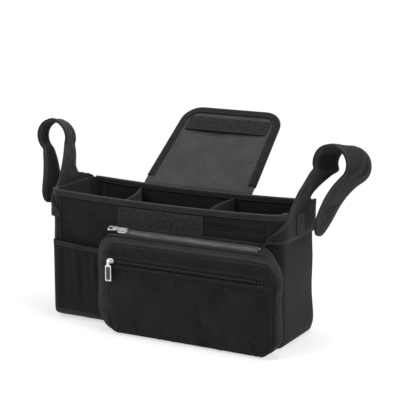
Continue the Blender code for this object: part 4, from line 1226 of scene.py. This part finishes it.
gusset = cloth("pouch_gusset_cloth", gusset_grid, POUCH_WALL, [GUSSET_PAINTED_LIGHT, INSIDE], (0, 0, 1), 0.0006,
               closed=True, cutter=cutter)
bpy.data.objects.remove(cutter)
place_piece(gusset, "bag", ["pouch_gusset"])
print("gusset:", len(gusset.data.polygons), "faces")

# %% Pouch face
left, right, low, high = FACE
radius = CORNERS[2]
# Rows lie closer together at the face's edges and beside the zip, where the form turns.
levels = np.concatenate([[0.112, 0.1117, 0.1111, 0.1101, 0.1088, 0.1072, 0.1052, 0.1034],
                         np.linspace(0.1020, 0.0810, 64), np.linspace(0.0798, 0.0110, 58),
                         [0.0092, 0.0072, 0.0055, 0.0043, 0.0034, 0.0028, 0.0025]])
rows = []
for z in levels:
    into = max(z - (high - radius), (low + radius) - z, 0.0)
    inset = radius - math.sqrt(max(radius ** 2 - into ** 2, 0.0))
    rows.append([(x, face_y, z) for x in np.linspace(left + inset, right - inset, 190)])
face_grid = np.array(rows)
print("face rows:", face_grid.shape)

# %% Swell of the face
x, z = face_grid[..., 0], face_grid[..., 2]
off_zip = np.abs(z - FRONT_ZIP_Z)
from_edge = edge_way(face_grid)
off_middle = 2 * rise(x, left, right) - 1
crown = 0.0026 * np.sin(math.pi * rise(z, 0.081, 0.0025)) ** 0.8 * (1 - off_middle ** 6)
crown += 0.0008 * np.sin(math.pi * rise(z, 0.1015, 0.1120)) * (1 - off_middle ** 8)
lumps = 0.0009 * rumple(face_grid, 0.045, 41) + 0.0004 * rumple(face_grid, 0.016, 42)
near_corner = bump_at(x, right - 0.016, 0.012) * bump_at(z, 0.022, 0.014)
corner_fold = 0.0008 * np.sin((x - right + z) / 0.0035) * near_corner
free = rise(from_edge, 0.003, 0.015) * rise(off_zip, 0.0098, 0.0158)
face_grid[..., 1] -= crown + free * (lumps + corner_fold)
held = (off_zip < 0.0105) | (from_edge < 0.003)
face_grid = slack(face_grid, held, (0, -1, 0), 0.6, 0.012, cap=0.0012, frames=14)
print("the face stands out by up to", round(float((face_y - face_grid[..., 1]).max()) * 1000, 1), "mm")

# %% Lips beside the front zip
lip = rise(off_zip, 0.0036, 0.0039) * rise(off_zip, 0.0095, 0.0091)
pinch = bump_at(off_zip, 0.0058, 0.0006)
valley = rise(from_edge, 0.0042, 0) ** 2
wave = 0.00012 * np.sin(x / 0.0016) * bump_at(off_zip, 0.0075, 0.0016)
face_grid[..., 1] += 0.0013 * valley - lip * (0.0009 - 0.0004 * pinch + wave) * (1 - valley)
slot_open = (off_zip < FRONT_SLOT / 2 + 0.0001) & (np.abs(x - FRONT_ZIP_X) < FRONT_HALF + 0.0004)
face = cloth("pouch_face", face_grid, 0.0014, [OUTER, INSIDE], (0, -1, 0), 0.00035, opening=slot_open)
place_piece(face, "bag", ["pouch_front_panel"])
print("pouch face:", len(face.data.polygons), "faces")

# %% Seams of the face
for height in (0.0058, -0.0058):
    row = np.argmin(np.abs(levels - FRONT_ZIP_Z - height))
    sew(face_grid[row, 3:-3] - np.array([0, 0.0002, 0]))
BAR_LEFT, BAR_RIGHT, BAR_HALF = 0.1492, 0.1532, 0.0040
box = [(BAR_LEFT, BAR_HALF), (BAR_RIGHT, BAR_HALF), (BAR_RIGHT, -BAR_HALF), (BAR_LEFT, -BAR_HALF)]
for (x0, z0), (x1, z1) in zip(box, box[1:] + box[:1]):
    shares = np.linspace(0, 1, 6)
    sew([(mix(x0, x1, share), face_y - 0.0011, FRONT_ZIP_Z + mix(z0, z1, share)) for share in shares])
print("two seams beside the zip and a bar at its end")

# %% [markdown]
# ## Zips
# The top zip has metal teeth that clasp the tape's corded edge and bite between each
# other. One tooth is modelled, and Geometry Nodes set it along both edges. The front
# zip is a nylon coil, which is the same work with a small loop.


# %% Rows of copies
def node_group(name, inputs):
    """A new tree, its input and its output, with a named input for each size."""
    group = bpy.data.node_groups.new(name, "GeometryNodeTree")
    for way in ("INPUT", "OUTPUT"):
        group.interface.new_socket("Geometry", in_out=way, socket_type="NodeSocketGeometry")
    for label, kind in inputs.items():
        group.interface.new_socket(label, in_out="INPUT", socket_type="NodeSocket" + kind)
    return group, group.nodes.new("NodeGroupInput")


def finished(group, place, finish):
    """The end of a tree: its copies become real geometry and get their material."""
    real = group.nodes.new("GeometryNodeRealizeInstances")
    paint = group.nodes.new("GeometryNodeSetMaterial")
    paint.inputs["Material"].default_value = finish
    end = group.nodes.new("NodeGroupOutput")
    group.links.new(place.outputs["Instances"], real.inputs["Geometry"])
    group.links.new(real.outputs["Geometry"], paint.inputs["Geometry"])
    group.links.new(paint.outputs["Geometry"], end.inputs["Geometry"])
    return group


def worked(name, mesh, group, values):
    """A piece that a tree makes from a mesh, with the tree's named inputs set."""
    piece = added(name, mesh)
    work = piece.modifiers.new("work", "NODES")
    work.node_group = group
    for item in group.interface.items_tree:
        if item.item_type == "SOCKET" and item.in_out == "INPUT" and item.name in values:
            work[item.identifier] = values[item.name]
    return plain_mesh(piece)


def row_of_copies(finish):
    """Copies of a thing at even steps along a straight line."""
    group, start = node_group("row of copies", {"Copied": "Object", "Count": "Int", "Step": "Vector"})
    line = group.nodes.new("GeometryNodeMeshLine")
    line.mode = "OFFSET"
    info = group.nodes.new("GeometryNodeObjectInfo")
    place = group.nodes.new("GeometryNodeInstanceOnPoints")
    link = group.links.new
    link(start.outputs["Count"], line.inputs["Count"])
    link(start.outputs["Step"], line.inputs["Offset"])
    link(start.outputs["Copied"], info.inputs["Object"])
    link(line.outputs["Mesh"], place.inputs["Points"])
    link(info.outputs["Geometry"], place.inputs["Instance"])
    return finished(group, place, finish)


def copied_row(name, group, thing, count, step, turn):
    """A row of copies as one piece, turned into place; a mirrored one is turned right side out."""
    values = {"Copied": thing, "Count": count, "Step": (step, 0, 0)}
    piece = worked(name, bpy.data.meshes.new(name), group, values)
    piece.data.transform(turn)
    if turn.determinant() < 0:
        piece.data.flip_normals()
    shaded(piece.data, 40)
    return piece


def zip_strip(name, place, side, ends, edges, faces, edge, finish, corner=0.0004, steps=2):
    """A flat strip along one side of a zip, from its ends, its long edges and its two faces."""
    low, high = sorted(side * way for way in edges)
    piece = slab(name, rounded(*ends, low, high, corner, steps), *faces, finish, place, edge)
    place_piece(piece, "bag")


print("row_of_copies() repeats a thing along a line")

# %% One tooth
ZIP_SIDES = ((1, "upper"), (-1, "lower"))
TEETH_LEFT, TEETH_PITCH, TEETH_COUNT, TOOTH_HALF = -0.0805, 0.003, 59, 0.0011
half_tooth = [(0.00040, 0.0046), (0.00048, 0.0040), (0.00046, 0.0024), (0.00028, 0.0016),
              (0.00026, 0.0004), (0.00038, -0.0003), (0.00036, -0.0008), (0.00022, -0.0012)]
tooth_outline = half_tooth + [(-x, y) for x, y in reversed(half_tooth)]
tooth = slab("tooth", tooth_outline, -TOOTH_HALF, TOOTH_HALF, TEETH, edge=0.00022)
print("a tooth has", len(tooth.data.polygons), "faces")

# %% Teeth, tapes, cords and folds
teeth_group = row_of_copies(TEETH)
for side, name in ZIP_SIDES:
    start = TEETH_LEFT if side > 0 else TEETH_LEFT + TEETH_PITCH / 2
    turn = top_frame @ Matrix.Translation((start, 0, 0)) @ Matrix.Diagonal((1, side, 1, 1))
    teeth = copied_row("top_zip_teeth_" + name, teeth_group, tooth, TEETH_COUNT, TEETH_PITCH, turn)
    place_piece(teeth, "bag", ["top_zip_" + name + "_tape"])
    zip_strip("top_zip_cloth_" + name, top_frame, side, (-0.0992, 0.0992), (0.0019, 0.0069),
              (-0.0004, 0.0004), 0.00015, ZIP_CLOTH)
    zip_strip("top_zip_cord_" + name, top_frame, side, (-0.0990, 0.0965), (0.0020, 0.0032),
              (-0.0008, 0.0008), 0.0003, ZIP_CLOTH)
    # The folds take the gusset's lighter weave, which paints the light that falls on the pouch's top.
    zip_strip("top_zip_fold_" + name, top_frame, side, (-0.1035, 0.1030), (0.0064, 0.0098),
              (0.0005, 0.0013), 0.00038, GUSSET_PAINTED_LIGHT, corner=0.0008, steps=3)
    sew([tuple(top_frame @ Vector((x, side * 0.0088, 0.00145))) for x in np.linspace(-0.102, 0.1015, 80)])
bpy.data.objects.remove(tooth)
print("teeth on each side:", TEETH_COUNT)

# %% One loop of the coil
LOOP_STEPS, WIRE_STEPS, WIRE_RADIUS = 12, 6, 0.0003
loop = bmesh.new()
for step in range(LOOP_STEPS):
    angle = 2 * math.pi * step / LOOP_STEPS
    middle = Vector((0.0002 * math.sin(angle), 0.00125 * math.cos(angle), 0.00045 * math.sin(angle)))
    out = Vector((0, math.cos(angle) * 0.6, math.sin(angle))).normalized()
    for corner in range(WIRE_STEPS):
        turned = 2 * math.pi * corner / WIRE_STEPS
        ring = out * math.cos(turned) + Vector((1, 0, 0)) * math.sin(turned)
        loop.verts.new(middle + WIRE_RADIUS * ring)
loop.verts.ensure_lookup_table()
for step in range(LOOP_STEPS):
    near, far = step * WIRE_STEPS, (step + 1) % LOOP_STEPS * WIRE_STEPS
    for corner in range(WIRE_STEPS):
        after = (corner + 1) % WIRE_STEPS
        points = (near + corner, far + corner, far + after, near + after)
        loop.faces.new([loop.verts[point] for point in points])
bmesh.ops.recalc_face_normals(loop, faces=loop.faces)
loop_mesh = bpy.data.meshes.new("loop")
loop.to_mesh(loop_mesh)
loop.free()
one_loop = added("loop", loop_mesh)
print("a loop has", len(loop_mesh.polygons), "faces")

# %% Coil and its tapes
COIL_LEFT, COIL_PITCH, COIL_COUNT, COIL_SUNK = -0.0985, 0.00125, 158, 0.0008
sunk = front_frame @ Matrix.Translation((0, 0, -COIL_SUNK))
turn = sunk @ Matrix.Translation((COIL_LEFT, 0, 0))
coil = copied_row("front_zip_coil", row_of_copies(COIL), one_loop, COIL_COUNT, COIL_PITCH, turn)
place_piece(coil, "bag", ["front_zip_upper_tape", "front_zip_lower_tape"])
for side, name in ZIP_SIDES:
    zip_strip("front_zip_cloth_" + name, sunk, side, (-0.1007, 0.1007), (0.0008, 0.0034),
              (-0.0009, -0.0003), 0.00012, ZIP_CLOTH, corner=0.0003)
bpy.data.objects.remove(one_loop)
print("coil loops:", COIL_COUNT)

# %% [markdown]
# ## Sliders and pulls
# These are cast metal, and the solids have their form already. A copy of each gets round
# edges, which catch the light as a real casting does, and its finish.


# %% Sliders, pulls and stop
def softened(node, body, finish, width):
    """A copy of a solid with its hard edges rounded."""
    source = bpy.data.objects[node]
    piece = added(node + "_cast", source.data.copy())
    bpy.context.view_layer.update()
    piece.matrix_world = source.matrix_world.copy()
    round_edges(piece, width, 28)
    plain_mesh(piece)
    piece.data.materials.clear()
    piece.data.materials.append(finish)
    shaded(piece.data, 50)
    place_piece(piece, body, [node])


softened("top_zip_end_stop", "bag", TEETH, 0.00025)
for node, body, width in (
        ("top_zip_slider", "top_slider", 0.00022), ("top_zip_slider_base", "top_slider", 0.0002),
        ("top_zip_pull", "top_pull", 0.0002), ("front_zip_slider", "front_slider", 0.0002),
        ("front_zip_slider_base", "front_slider", 0.0002), ("front_zip_pull", "front_pull", 0.00012)):
    softened(node, body, SILVER, width)
softened("front_zip_pull_insert", "front_pull", INSERT, 0.00012)
print("sliders and pulls rounded")

# %% [markdown]
# ## Stitches
# Each line that sew() remembered becomes a curve, and a small thread bead lies at every
# stitch along it, turned the way the seam runs.


# %% Stitches
def stitch_group(finish):
    """Beads at even steps along each line, turned the way the line runs."""
    group, start = node_group("stitches", {"Spacing": "Float", "Bead": "Vector"})
    curve = group.nodes.new("GeometryNodeMeshToCurve")
    even = group.nodes.new("GeometryNodeResampleCurve")
    even.mode = "LENGTH"
    bead = group.nodes.new("GeometryNodeMeshUVSphere")
    bead.inputs["Segments"].default_value = 6
    bead.inputs["Rings"].default_value = 4
    bead.inputs["Radius"].default_value = 1.0
    tangent = group.nodes.new("GeometryNodeInputTangent")
    turn = group.nodes.new("FunctionNodeAlignRotationToVector")
    turn.axis = "Z"
    place = group.nodes.new("GeometryNodeInstanceOnPoints")
    link = group.links.new
    link(start.outputs["Geometry"], curve.inputs["Mesh"])
    link(start.outputs["Spacing"], even.inputs["Length"])
    link(start.outputs["Bead"], place.inputs["Scale"])
    link(curve.outputs["Curve"], even.inputs["Curve"])
    link(even.outputs["Curve"], place.inputs["Points"])
    link(bead.outputs["Mesh"], place.inputs["Instance"])
    link(tangent.outputs["Tangent"], turn.inputs["Vector"])
    link(turn.outputs["Rotation"], place.inputs["Rotation"])
    return finished(group, place, finish)


points, lines = [], []
for line in stitch_lines:
    first = len(points)
    points += [tuple(point) for point in line]
    lines += [(first + step, first + step + 1) for step in range(len(line) - 1)]
thread_mesh = bpy.data.meshes.new("stitches")
thread_mesh.from_pydata(points, lines, [])
SPACING, THREAD_RADIUS = 0.0031, 0.00026
bead_size = (THREAD_RADIUS, THREAD_RADIUS, SPACING * 0.36)
stitches = worked("stitches", thread_mesh, stitch_group(THREAD), {"Spacing": SPACING, "Bead": bead_size})
stitches.data.shade_smooth()
place_piece(stitches, "bag")
print("seams sewn:", len(stitch_lines), "with", len(stitches.data.polygons), "faces of thread")
